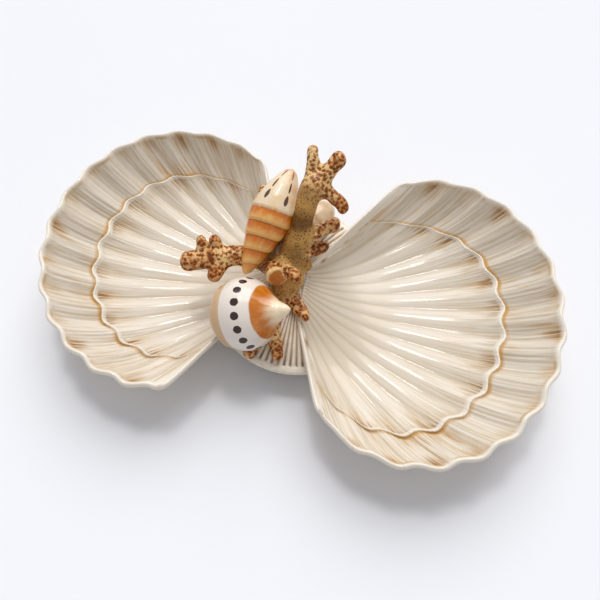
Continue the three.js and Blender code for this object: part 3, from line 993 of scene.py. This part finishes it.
    def place(self, plan: Array, height: Array) -> Array:
        """Plan points and heights turned and moved to the bowl's apex.

        Args:
            plan: Plan points in the bowl's own frame.
            height: Heights.

        Returns:
            Points in the drawing's frame.
        """
        cosine, sine = direction(self.turn, 0)[:2]
        x = self.apex[0] + plan[..., 0] * cosine - plan[..., 1] * sine
        y = self.apex[1] + plan[..., 0] * sine + plan[..., 1] * cosine
        return np.stack([x, y, height], -1)

    def floor(self) -> Array:
        """Point under the deepest part, on the table."""
        return self.place(self.centre(), np.array(0.0))

    def side(self, u: float, steps: int = 60) -> Array:
        """Points along a straight side, u = -1 or 1, from the hinge to the corner."""
        edge, t = np.full(steps, u), np.linspace(0, 1, steps)
        return self.place(self.plan(edge, t), self.cup(edge, t))

    def surface(self) -> Surface:
        """Two sheets on one grid, with rows close together at the step, joined by a half-round lip.

        Returns:
            The surface, with marks "lip", 1 on the pale rim.
        """
        form = self.form
        near, close, far = form.rows
        start, stop = (form.step_at + offset for offset in form.close_rows)
        row = np.concatenate([np.linspace(0, start, near, endpoint=False),
                              np.linspace(start, stop, close, endpoint=False), np.linspace(stop, 1, far)])
        column = np.linspace(-1, 1, form.flutes * form.columns_per_flute + 1)
        row, u = np.meshgrid(row[::-1], column, indexing="ij")
        t = self.run(u, row)
        plan, plain = self.plan(u, t), self.cup(u, t)
        waves = -self.furrow(u) * np.sqrt(row) * form.lip_wave * 0.5 * (1 - u ** 8)
        upper = self.place(plan, plain + self.relief(u, row))
        lower = self.place(plan, plain + waves - form.wall)
        made = thick_sheet(upper, lower, np.stack([(u + 1) / 2, row], -1), form.lip_bulge)
        edge = np.maximum(smooth(row, *form.pale_lip), smooth(np.abs(u), *form.pale_side))
        edge = np.maximum(edge, 1 - smooth(row, 0, form.pale_hinge)).ravel()
        rest = len(made.points) - 2 * edge.size
        made.marks["lip"] = np.concatenate([edge, np.zeros(edge.size), np.ones(rest)])
        return made


@dataclass
class FootRing(Piece):
    """Bare ring under a bowl, with rounded foot edges; its top is buried in the bowl's wall."""

    ending: ClassVar[str] = "clay"
    bowl: ScallopBowl
    radius: float = 40
    wall: float = 6
    round: float = 1.4
    top: float = 9.2
    sides: int = 160

    def finish(self) -> Finish:
        """Bare clay."""
        return BareClay()

    def surface(self) -> Surface:
        """A rounded-rectangle section carried round the deepest part of the bowl.

        Returns:
            The closed surface.
        """
        bend = np.linspace(0, np.pi / 2, 7)
        tuck, lift = self.round * (1 - np.sin(bend)), self.round * (1 - np.cos(bend))
        inner, outer = self.radius - self.wall, self.radius
        out = np.concatenate([[inner], inner + tuck[::-1], outer - tuck, [outer]])
        level = np.concatenate([[self.top], lift[::-1], lift, [self.top]])
        turn = np.linspace(0, TURN, self.sides, endpoint=False)[:, None]
        section = np.broadcast_arrays(out * np.cos(turn), out * np.sin(turn), level)
        points = np.stack(section, -1).reshape(-1, 3) + self.bowl.floor()
        return Surface(points, [grid_quads(self.sides, len(out), wrap=True, close=True)[:, ::-1]])


class Facing(Enum):
    """Which way a fan of the saddle looks, as the sign of its plan direction along Y."""

    FRONT = -1
    REAR = 1


@dataclass
class RibbedFan(Piece):
    """Ribbed skirt between the bowls' straight sides, with a thick smooth lip."""

    facing: Facing
    centre: tuple[float, float]
    radius: float
    right: Array
    left: Array
    inner_radius: float = 8
    rib_pitch: float = 4.6
    rib_depth: float = 1.0
    rib_round: float = 0.8
    rib_sink: float = 0.55
    rib_grow: tuple[float, float] = (0.05, 0.5)
    rib_fade: tuple[float, float] = (-0.03, 0.02)
    top: float = 36
    lip_height: float = 24
    lip_rise: float = 0.9
    lip_swell: tuple[float, float] = (-0.02, 0.04)
    dip: float = 2.5
    wall: float = 4.5
    lip_bulge: float = 1.8
    lip_at: float = 0.945
    tuck: tuple[float, float] = (-0.6, 5.0)
    rows: tuple[int, int] = (26, 22)
    close_rows: float = 0.05
    columns: int = 420

    def finish(self) -> Finish:
        """Saddle glaze, on a pattern that counts the ribs."""
        return SaddleGlaze(1.0, self.lip_at)

    def bounds(self, reach: Array, side: Array) -> Array:
        """Plan angle at which a circle about the centre meets a bowl's straight side.

        Args:
            reach: Radii of the circles.
            side: Points along the straight side, from the hinge out.

        Returns:
            Angles in radians, one per radius.
        """
        from_centre = side[:, :2] - np.array(self.centre)
        angle = np.unwrap(np.arctan2(from_centre[:, 1], from_centre[:, 0]))
        distance = np.maximum.accumulate(np.linalg.norm(from_centre, axis=1) + np.arange(len(side)) * 1e-6)
        return np.interp(reach, distance, angle)

    def surface(self) -> Surface:
        """Rings about the centre, with ribs |sin|^0.8 across them, falling as run^2 to the lip.

        Returns:
            The closed surface.
        """
        near, far = self.rows
        split = self.lip_at - self.close_rows
        run = np.concatenate([np.linspace(0, split, near, endpoint=False), np.linspace(split, 1, far)])[::-1, None]
        reach = mix(self.inner_radius, self.radius, run)
        start, stop = self.bounds(reach, self.left), self.bounds(reach, self.right)
        if self.facing is Facing.REAR:
            start, stop = stop, start
        stop = start + np.mod(stop - start, TURN)
        slack = mix(*self.tuck, run ** 2) / reach
        angle = mix(start - slack, stop + slack, np.linspace(0, 1, self.columns))
        ribs = angle * self.radius / self.rib_pitch
        fade, swell = ([self.lip_at + offset for offset in pair] for pair in (self.rib_fade, self.lip_swell))
        grown = smooth(run, *self.rib_grow) * (1 - smooth(run, *fade))
        crest = (np.abs(np.sin(np.pi * ribs)) ** self.rib_round - self.rib_sink) * self.rib_depth * grown
        lip = smooth(run, *swell) * self.lip_rise
        fall = mix(self.top, self.lip_height, run ** 2) - self.dip * (1 - run) ** 2
        x = self.centre[0] + reach * np.cos(angle)
        y = self.centre[1] + reach * np.sin(angle)
        upper = np.stack([x, y, fall + crest + lip], -1)
        lower = np.stack(np.broadcast_arrays(x, y, fall - self.wall), -1)
        return thick_sheet(upper, lower, np.stack(np.broadcast_arrays(ribs, run), -1), self.lip_bulge)


@dataclass
class SaddleCore(Piece):
    """Block of clay between the two hinges that carries the coral: a softly swollen cushion shape."""

    centre: tuple[float, float] = (4, 1)
    length: float = 30
    width: float = 48
    bottom: float = 13
    top: float = 36.5
    sides: int = 96
    stations: int = 47

    def finish(self) -> Finish:
        """Saddle glaze, with nine ribs round the block."""
        return SaddleGlaze(9.0, 0.98)

    def surface(self) -> Surface:
        """A superellipsoid |x|^4 + |y|^4 + |z|^4 = 1, scaled to the block's sizes.

        Returns:
            The closed surface.
        """
        tilt = np.linspace(-np.pi / 2, np.pi / 2, self.stations + 2)[1:-1, None]
        turn = np.linspace(0, TURN, self.sides, endpoint=False)[None, ::-1]
        ball = np.broadcast_arrays(np.cos(tilt) * np.cos(turn), np.cos(tilt) * np.sin(turn), np.sin(tilt))
        ball = np.stack(ball, -1)
        ball = ball / np.sum(ball ** 4, -1, keepdims=True) ** 0.25
        half = np.array([self.length, self.width, self.top - self.bottom]) / 2
        middle = np.array([*self.centre, (self.top + self.bottom) / 2])
        pole = np.array([0, 0, half[2]])
        return turned_sheet(middle + ball * half, (middle - pole, middle + pole), np.linspace(0, 1, self.stations))


class Tip(Enum):
    """How a coral limb ends."""

    ROUND = "round"
    CUT = "cut"


@dataclass(frozen=True)
class Limb:
    """A coral limb along a line of points, with radii and tones spread evenly from its root to its tip."""

    node: str
    line: tuple[Point, ...]
    radii: tuple[float, ...]
    tone: tuple[float, ...]
    web: float = 5.5
    tip: Tip = Tip.ROUND
    bend: int = 8

    def spread(self, values: Sequence[float], count: int) -> Array:
        """Values at even places along the limb, joined by straight lines to the given count."""
        return np.interp(np.linspace(0, 1, count), np.linspace(0, 1, len(values)), values)

    def path(self) -> Array:
        """Points of a smooth curve through the line: a Catmull-Rom cubic on each span.

        Returns:
            The points, from root to tip.
        """
        knots = np.array(self.line, float)
        if len(knots) == 2:
            return mix(knots[0], knots[1], np.linspace(0, 1, 4)[:, None])
        padded = np.concatenate([2 * knots[:1] - knots[1:2], knots, 2 * knots[-1:] - knots[-2:-1]])
        s = np.linspace(0, 1, self.bend, endpoint=False)[None, :, None]
        before, start, end, after = (padded[k:len(knots) - 1 + k, None, :] for k in range(4))
        curve = 0.5 * (2 * start + (end - before) * s + (2 * before - 5 * start + 4 * end - after) * s ** 2
                       + (3 * start - before - 3 * end + after) * s ** 3)
        return np.concatenate([curve.reshape(-1, 3), knots[-1:]])


@dataclass
class Coral(Piece):
    """All coral limbs as one glazed skin: a smooth union of tapered limbs, meshed on a fine grid.

    Its lumps are given as height, pitch and seed.
    """

    limbs: tuple[Limb, ...]
    cell: float = 0.8
    margin: float = 4.0
    far: float = 40.0
    cut_tone: float = 0.3
    lumps: tuple[tuple[float, float, int], ...] = ((1.5, 12.0, 4), (0.6, 5.0, 9))

    def solids(self) -> list[str]:
        """Names of the limbs' solids, each once."""
        return list(dict.fromkeys(limb.node for limb in self.limbs))

    def finish(self) -> Finish:
        """Coral glaze."""
        return CoralGlaze()

    def limb_distances(self, limb: Limb, spot: Array) -> tuple[Array, Array]:
        """Distance to one limb and its tone at points of space.

        The distance is that to the nearest tapered piece, |p - a - h (b - a)| - r(h), with h the share of the
        piece that is nearest to p. A cut tip ends in a plane, and its tone rises toward the limb's axis.

        Args:
            limb: The limb.
            spot: Points, with 3 as the last axis.

        Returns:
            Distances, negative inside, and tones.
        """
        path = limb.path()
        radii, tones = limb.spread(limb.radii, len(path)), limb.spread(limb.tone, len(path))
        best, hue = np.full(spot.shape[:3], self.far, np.float32), np.zeros(spot.shape[:3], np.float32)
        for k in range(len(path) - 1):
            span = path[k + 1] - path[k]
            share = np.clip((spot - path[k]) @ span / (span @ span), 0, 1)
            gap = np.linalg.norm(spot - path[k] - share[..., None] * span, axis=-1)
            gap = gap - mix(radii[k], radii[k + 1], share)
            hue = np.where(gap < best, mix(tones[k], tones[k + 1], share), hue)
            best = np.minimum(gap, best)
        if limb.tip is Tip.CUT:
            hue = hue + self.cut_tone * np.clip(-best / limb.radii[-1], 0, 1)
            best = np.maximum(best, (spot - path[-1]) @ unit(path[-1] - path[-2]))
        return best, hue

    def distances(self, low: Array, shape: tuple[int, ...]) -> tuple[Array, Array]:
        """Distance to the coral and the tone of its limbs on a grid.

        Limbs join by the smooth minimum mix(b, a, s) - k s (1 - s), with s = 1/2 + (b - a) / 2k held to 0 and
        1 and k the limb's web, and their tones mix by the same share.

        Args:
            low: Lowest corner of the grid.
            shape: Number of grid points each way.

        Returns:
            Distances, negative inside, and tones, both shaped like the grid.
        """
        distance, tone = np.full(shape, self.far, np.float32), np.zeros(shape, np.float32)
        for limb in self.limbs:
            path, room = limb.path(), max(limb.radii) + limb.web + self.margin
            first = np.maximum(((path.min(0) - room - low) / self.cell).astype(int), 0)
            last = np.minimum(((path.max(0) + room - low) / self.cell).astype(int) + 1, shape)
            axes = [low[k] + self.cell * np.arange(first[k], last[k]) for k in range(3)]
            spot = np.stack(np.meshgrid(*axes, indexing="ij"), -1).astype(np.float32)
            best, hue = self.limb_distances(limb, spot)
            block = tuple(slice(a, b) for a, b in zip(first, last))
            old = distance[block]
            share = np.clip(0.5 + (old - best) / (2 * limb.web), 0, 1)
            distance[block] = mix(old, best, share) - limb.web * share * (1 - share)
            tone[block] = mix(tone[block], hue, share)
        return distance, tone

    def lump(self, shape: tuple[int, ...], pitch: float, seed: int) -> Array:
        """Value noise on the grid: random numbers on a coarse lattice, eased between its points.

        Args:
            shape: Number of grid points each way.
            pitch: Lattice spacing in millimetres.
            seed: Seed of the lattice.

        Returns:
            Values from -1 to 1, shaped like the grid.
        """
        weights = []
        for count in shape:
            index, place = np.arange(count), np.arange(count) * self.cell / pitch
            left = place.astype(int)
            share = smooth(place - left, 0, 1)
            weight = np.zeros((count, left[-1] + 2))
            weight[index, left], weight[index, left + 1] = 1 - share, share
            weights.append(weight)
        lattice = np.random.default_rng(seed).uniform(-1, 1, tuple(weight.shape[1] for weight in weights))
        return np.einsum("ai,bj,ck,ijk->abc", *weights, lattice, optimize=True).astype(np.float32)

    def skin(self, values: Array, low: Array) -> tuple[Array, Array]:
        """Surface where the grid's values are 0, one point per mixed cell and one quad per crossed grid edge.

        A cell's point is the mean of the places where its twelve edges cross 0.

        Args:
            values: Distances on the grid.
            low: Lowest corner of the grid.

        Returns:
            Points and quads.
        """
        inside, size = values < 0, np.array(values.shape) - 1
        corner = np.array(list(np.ndindex(2, 2, 2)))

        def part(offset: Array) -> Array:
            """Whether one corner of each cell is inside."""
            return inside[tuple(slice(first, first + count) for first, count in zip(offset, size))]

        filled = sum(part(offset).astype(np.int8) for offset in corner)
        cells = np.argwhere((filled > 0) & (filled < len(corner)))
        number = np.full(tuple(size), -1, np.int64)
        number[tuple(cells.T)] = np.arange(len(cells))
        total, crossings = np.zeros((len(cells), 3)), np.zeros(len(cells))
        for a, b in ((a, b) for a in corner for b in corner if (b >= a).all() and (b - a).sum() == 1):
            first, second = values[tuple((cells + a).T)], values[tuple((cells + b).T)]
            crossed = (first < 0) != (second < 0)
            share = np.where(crossed, first / np.where(crossed, first - second, 1), 0)
            total += np.where(crossed[:, None], a + share[:, None] * (b - a), 0)
            crossings += crossed
        points = low + (cells + total / crossings[:, None]) * self.cell
        quads, axes = [], np.eye(3, dtype=int)
        for axis in range(3):
            one, two = axes[(axis + 1) % 3], axes[(axis + 2) % 3]
            here = part(0 * one)
            edges = np.argwhere(here != part(axes[axis]))
            edges = edges[(edges @ one > 0) & (edges @ two > 0)]
            ring = np.stack([number[tuple((edges - offset).T)] for offset in (0 * one, one, one + two, two)], -1)
            quads.append(np.where(here[tuple(edges.T)][:, None], ring, ring[:, ::-1]))
        return points, np.concatenate(quads)

    def surface(self) -> Surface:
        """The coral's skin, lumpy at two scales.

        Returns:
            The surface, with its tone as marks "tip".
        """
        paths = np.concatenate([limb.path() for limb in self.limbs])
        room = max(max(limb.radii) for limb in self.limbs) + self.margin
        low = paths.min(0) - room
        shape = tuple(((paths.max(0) + room - low) / self.cell).astype(int) + 2)
        values, tone = self.distances(low, shape)
        values += sum(height * self.lump(shape, pitch, seed) for height, pitch, seed in self.lumps)
        points, quads = self.skin(values, low)
        near = np.clip(((points - low) / self.cell).round().astype(int), 0, np.array(shape) - 1)
        return Surface(points, [quads], marks={"tip": tone[tuple(near.T)]})


@dataclass
class TurnedShell(Piece):
    """A sea shell about a straight axis, from its start to its end, by a profile of axis and radius shares."""

    start: Point
    turn: float
    rise: float
    length: float
    radius: float
    profile: tuple[tuple[float, float], ...]
    stations: int = 220
    sides: int = 144
    ease: int = 30
    end_turn: float = 0.06
    end_gap: float = 0.002

    def outline(self, along: Array) -> Array:
        """Radius share along the axis: the profile's points joined, then eased twice with a running mean.

        Args:
            along: Axis shares.

        Returns:
            Radius shares.
        """
        fine, window = np.linspace(0, 1, 2001), 2 * self.ease + 1
        radius = np.interp(fine, *np.array(self.profile).T)
        for _ in range(2):
            padded = np.pad(radius, self.ease, mode="reflect", reflect_type="odd")
            radius = np.convolve(padded, np.ones(window) / window, mode="valid")
        return np.interp(along, fine, np.maximum(radius, 0.0))

    def swell(self, along: Array, turn: Array) -> Array:
        """Factor on the radius at an axis share and a turn share."""
        raise NotImplementedError

    def surface(self) -> Surface:
        """Rings of outline times swell about the axis, close together at its ends, turned from the upper side.

        Returns:
            The closed surface.
        """
        axis = direction(self.turn, self.rise)
        top = unit(np.array([0, 0, 1.0]) - axis * axis[2])
        side = np.cross(axis, top)
        along = 1 - np.cos(np.linspace(self.end_turn, np.pi - self.end_turn, self.stations))
        along = mix(self.end_gap, 1 - self.end_gap, (along - along[0]) / (along[-1] - along[0]))
        share = np.arange(self.sides) / self.sides
        out = self.radius * self.outline(along)[:, None] * self.swell(along[:, None], share[None, :])
        spoke = np.cos(TURN * share)[:, None] * top + np.sin(TURN * share)[:, None] * side
        foot = np.array(self.start)
        points = foot + along[:, None, None] * self.length * axis + out[..., None] * spoke
        return turned_sheet(points, (foot, foot + axis * self.length), along)


@dataclass
class SpindleShell(TurnedShell):
    """Slender shell on top: a spiral spire of stepped whorls and a long smooth body."""

    tip_share: float = -0.02
    whorl_share: float = 0.122
    whorl_step: float = 0.075
    suture: float = 0.14
    body_at: float = 0.59
    lip_turn: float = 0.2
    lip_width: float = 0.016
    lip_rise: float = 0.05
    dash_rows: float = 6.0
    dash_turn: float = -0.063
    dash_start: float = 0.705
    dash_pitch: float = 0.118

    def finish(self) -> Finish:
        """Banded glaze."""
        return BandedGlaze(self)

    def swell(self, along: Array, turn: Array) -> Array:
        """Each whorl swells from its suture and steps in at the next, along a spiral; the body has a lip.

        Args:
            along: Axis shares.
            turn: Turn shares.

        Returns:
            Factors on the radius.
        """
        part = np.mod((along - self.tip_share) / self.whorl_share - turn, 1)
        step = smooth(part, 0, self.suture) * (1 - 0.7 * smooth(part, 0.2, 1.0))
        spire = 1 - smooth(along, self.body_at - 0.03, self.body_at + 0.06)
        body = smooth(along, self.body_at, self.body_at + 0.1)
        lip = self.lip_rise * bump(turn, self.lip_turn, self.lip_width) * body
        return 1 + self.whorl_step * (step - 0.55) * spire + lip


@dataclass
class SnailShell(TurnedShell):
    """Round shell in front: a fat body whorl, a short spiral spire and a small point."""

    band_start: float = 0.328
    band_end: float = 0.66
    whorl_share: float = 0.2
    whorl_step: float = 0.06
    mouth_at: float = 0.19
    mouth_width: float = 0.03
    mouth_roll: float = 0.025
    groove: float = 0.012
    spot_at: float = 0.525
    spot_turn: float = 0.082
    spots: float = 16.0
    spot_radius: float = 2.9

    def finish(self) -> Finish:
        """Spotted glaze."""
        return SpottedGlaze(self)

    def swell(self, along: Array, turn: Array) -> Array:
        """A faint spiral shoulder on the spire, a rolled mouth edge on the wide end and a groove at the band.

        Args:
            along: Axis shares.
            turn: Turn shares.

        Returns:
            Factors on the radius.
        """
        part = np.mod((along - self.band_end) / self.whorl_share - turn, 1)
        spire = smooth(along, self.band_end, self.band_end + 0.12) * (1 - smooth(along, 0.9, 0.98))
        mouth = bump(along, self.mouth_at, self.mouth_width) * self.mouth_roll
        groove = bump(along, self.band_start - 0.01, self.groove) * self.groove
        return 1 + self.whorl_step * (part - 0.5) * spire + mouth - groove


@dataclass
class RearShell(TurnedShell):
    """Pale rounded shell that lies on the rear fan."""

    growth_steps: int = 7
    growth_rise: float = 0.012
    fold_turn: float = 0.3
    fold_width: float = 0.05
    fold_depth: float = 0.05

    def finish(self) -> Finish:
        """Blush glaze."""
        return BlushGlaze()

    def swell(self, along: Array, turn: Array) -> Array:
        """Soft growth steps along the axis and a long shallow fold."""
        growth = self.growth_rise * np.sin(TURN * self.growth_steps * along)
        return 1 + growth - self.fold_depth * bump(turn, self.fold_turn, self.fold_width)


# Studio


@dataclass(frozen=True)
class Lamp:
    """An even lamp that is far away: its direction from the dish, how wide it looks, and its strength."""

    name: str
    toward: Point
    spread: float
    strength: float

    def build(self) -> bpy.types.Object:
        """Adds the lamp.

        Returns:
            The lamp object.
        """
        data = bpy.data.lights.new(self.name, "SUN")
        data.angle = math.radians(self.spread)
        data.energy = self.strength
        made = link(self.name, data)
        made.matrix_world = Vector(self.toward).to_track_quat("Z", "Y").to_matrix().to_4x4()
        return made


@dataclass(frozen=True)
class Studio:
    """Pale floor, soft light from behind and above, and the camera of the photograph."""

    target: Point = (17, -15, 45)
    turn: float = 13.3
    rise: float = 65
    distance: float = 480
    lens: float = 42.06
    sensor: float = 36
    nearest: float = 10
    floor_half: float = 1500
    floor_pale: Colour = srgb(246, 247, 250)
    floor_shade: Colour = srgb(242, 243, 248)
    floor_roughness: float = 0.85
    room_tint: Colour = (0.96, 0.97, 1.0)
    room_light: float = 0.43
    backdrop_light: float = 0.9
    lamps: tuple[Lamp, ...] = (
        Lamp("back_lamp", (-0.02, 0.65, 0.76), 50, 1.86),
        Lamp("glint_lamp", (-0.1, 0.41, 0.91), 10, 0.5),
    )

    def camera(self, shift: Array) -> bpy.types.Object:
        """Adds the camera, level, looking at its target.

        Args:
            shift: Shift from the drawing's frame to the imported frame, in millimetres.

        Returns:
            The camera object.
        """
        data = bpy.data.cameras.new("camera")
        data.sensor_width = self.sensor
        data.lens = self.lens
        data.clip_start = self.nearest * MM
        back = direction(self.turn - 90, self.rise)
        eye = Vector((np.array(self.target) + shift + back * self.distance) * MM)
        made = link("camera", data)
        made.matrix_world = Matrix.Translation(eye) @ Vector(back).to_track_quat("Z", "Y").to_matrix().to_4x4()
        bpy.context.scene.camera = made
        return made

    def floor(self) -> bpy.types.Object:
        """Adds the pale floor.

        Returns:
            The floor object.
        """
        corner = np.array([[-1, -1, 0], [1, -1, 0], [1, 1, 0], [-1, 1, 0]]) * self.floor_half
        made = Surface(corner, [np.array([[0, 1, 2, 3]])]).to_object("floor")
        kit = NodeKit(bpy.data.materials.new("floor"))
        colour = kit.layers(self.floor_pale, (kit.noise(kit.place(), scale=3), self.floor_shade))
        made.data.materials.append(kit.finish(colour, self.floor_roughness))
        return made

    def room(self) -> bpy.types.World:
        """Makes the even light of the room, which the camera and the glaze see as a pale backdrop.

        Returns:
            The world.
        """
        kit = NodeKit(bpy.data.worlds.new("room"))
        kinds = ("Camera", "Glossy", "Transmission")
        camera, gloss, through = (kit.node("ShaderNodeLightPath", output=f"Is {kind} Ray") for kind in kinds)
        strength = self.room_light + camera.most(gloss).most(through) * (self.backdrop_light - self.room_light)
        light = kit.node("ShaderNodeBackground", {}, {"Color": self.room_tint, "Strength": strength})
        kit.node("ShaderNodeOutputWorld", {}, {"Surface": light})
        return kit.owner

    def build(self, shift: Array) -> None:
        """Adds camera, floor, lamps and the light of the room.

        Args:
            shift: Shift from the drawing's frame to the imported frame, in millimetres.
        """
        scene = bpy.context.scene
        scene.view_settings.view_transform = "Standard"
        self.camera(shift)
        self.floor()
        for lamp in self.lamps:
            lamp.build()
        scene.world = self.room()


# The dish: trunk and branch first among the limbs, then twigs, stub and roots

LIMBS = (
    # The trunk's tones are paler at its foot and at the fork and lowest below the fork, where the dark is partly
    # painted shade beside the spindle shell
    Limb("coral_trunk", ((4.5, -12, 32), (3, 0, 50), (7, 24, 72), (11.5, 46, 94)), (9.0, 9.0, 7.8, 7.6),
         (0.55, 0.35, 0.1, 0.0, 0.65)),
    Limb("coral_trunk", ((6, 1, 46), (14.5, 10, 47)), (6.5, 5.2), (0.15, 0.3)),
    Limb("coral_left_branch", ((8.5, -1.3, 48.4), (-10.3, 4.7, 51.4), (-30.3, 4.7, 52.9), (-49.3, -1.3, 53.9),
                               (-63, -7, 53.4)), (8.2, 6.6), (0.35, 0.85)),
    # A short web from the trunk fills the crotch behind the left branch with darker coral: partly painted shade,
    # standing where there is a shadowed gap
    Limb("coral_left_branch", ((4, 10, 55), (-4.8, 18.6, 56.5)), (7.0, 6.0), (0.2, 0.3)),
    Limb("coral_top_left_twig", ((11.5, 43.6, 91.6), (6.9, 63.4, 106.8)), (5.4, 4.4), (0.3, 0.85)),
    Limb("coral_top_right_twig", ((11.5, 43.6, 91.6), (25.6, 61.2, 106.6)), (5.4, 4.5), (0.3, 0.85)),
    Limb("coral_right_twig", ((13, 48.5, 95), (33.6, 39, 86)), (4.6, 4.2), (0.4, 1.0), 4.0),
    Limb("coral_mid_right_twig", ((8, 18, 67), (27.6, 36, 65.6)), (6.6, 5.2), (0.3, 1.0)),
    Limb("coral_low_right_twig", ((5, 13, 56), (23.4, 26, 52.4)), (5.0, 4.8), (0.6, 0.9), 2.0),
    Limb("coral_rear_twig", ((8, 19.1, 67.5), (-23.8, 50.2, 70.7)), (5.4, 4.0), (0.3, 0.8)),
    Limb("coral_left_lower_twig", ((-40.9, 1.8, 53.6), (-44.6, -12.6, 49.2)), (4.8, 4.2), (0.7, 1.0), 2.5),
    Limb("coral_left_upper_twig", ((-53, -3, 53.8), (-58.2, 6, 61.6)), (4.4, 3.6), (0.7, 0.9), 2.2),
    Limb("coral_left_back_twig", ((-42.6, 1, 53.7), (-48, 8.4, 62)), (4.4, 3.6), (0.7, 0.9), 2.2),
    Limb("coral_front_stub", ((-8, 4, 53), (0.2, -10.6, 62.5)), (5.8, 6.6), (0.4, 0.7, 1.3), 1.6, Tip.CUT),
    Limb("coral_front_twig", ((-1.5, 3, 61), (12.6, -8, 65)), (4.2, 3.9), (0.1, 0.8), 1.6),
    Limb("coral_right_root", ((8.2, -7.5, 39.2), (22.4, -24.6, 41)), (5.2, 3.9), (0.48, 0.76), 4.0),
    Limb("coral_front_root", ((-3, -24, 34), (10, -52.4, 31)), (5.0, 4.1), (0.3, 1.0)),
    Limb("coral_front_left_root", ((2, -20, 33.4), (-9, -54.5, 29)), (5.0, 4.1), (0.3, 0.9)),
)
SPINDLE_PROFILE = (
    (0, 0), (0.02, 0.17), (0.1, 0.36), (0.21, 0.55), (0.33, 0.74), (0.45, 0.91), (0.55, 1), (0.64, 0.99),
    (0.72, 0.9), (0.83, 0.7), (0.92, 0.46), (0.98, 0.25), (1, 0),
)
SNAIL_PROFILE = (
    (0, 0), (0.015, 0.25), (0.042, 0.42), (0.108, 0.68), (0.208, 0.876), (0.308, 0.972), (0.408, 1),
    (0.475, 0.985), (0.575, 0.89), (0.647, 0.75), (0.748, 0.47), (0.82, 0.31), (0.885, 0.21), (0.958, 0.12),
    (1, 0),
)
SNAIL_MIDDLE, SNAIL_WIDEST, SNAIL_LENGTH = (-15.5, -35.7, 50), 0.408, 60
SNAIL_TURN, SNAIL_RISE = 5, 30
REAR_PROFILE = (
    (0, 0), (0.02, 0.3), (0.12, 0.66), (0.3, 0.94), (0.48, 1), (0.66, 0.95), (0.82, 0.76), (0.93, 0.48),
    (0.98, 0.24), (1, 0),
)


def dish() -> list[Piece]:
    """All pieces of the dish, the right bowl first.

    Returns:
        The pieces, in the order that they are built.
    """
    right = ScallopBowl("right_dish", 190, 109, 61.2, -3.6, -5, (5, -3.2), 0.6)
    left = ScallopBowl("left_dish", 174.5, 100, 63.2, -5.5, 11, (1.8, 10.5), 183.7)
    snail_start = np.array(SNAIL_MIDDLE) - direction(SNAIL_TURN, SNAIL_RISE) * SNAIL_WIDEST * SNAIL_LENGTH
    return [
        right,
        left,
        FootRing("right_foot_ring", right),
        FootRing("left_foot_ring", left),
        RibbedFan("front_fan", Facing.FRONT, (12, -2), 58, right.side(-1), left.side(1)),
        RibbedFan("rear_fan", Facing.REAR, (4, 6), 64, right.side(1), left.side(-1)),
        SaddleCore("saddle_core"),
        Coral("coral", LIMBS),
        SpindleShell("spindle_shell", (-22.1, -12.0, 60.1), 76.3, 23, 78, 15, SPINDLE_PROFILE),
        SnailShell("snail_shell", tuple(snail_start), SNAIL_TURN, SNAIL_RISE, SNAIL_LENGTH, 25, SNAIL_PROFILE),
        RearShell("rear_shell", (-3.5, 26.4, 43.6), 55, 4, 46, 13, REAR_PROFILE),
    ]


def main() -> None:
    """Builds every piece in order, then the studio."""
    logging.basicConfig(level=logging.INFO, format="%(name)s: %(message)s")
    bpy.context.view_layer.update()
    pieces = dish()
    low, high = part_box("right_foot_ring")
    ring = np.array((low + high) / 2) / MM
    shift = np.array([*(ring[:2] - pieces[0].floor()[:2]), 0.0])
    LOG.info("shift to the packed frame: %s mm", shift.round(2).tolist())
    for piece in pieces:
        piece.build(shift)
    Studio().build(shift)


if __name__ == "__main__":
    main()
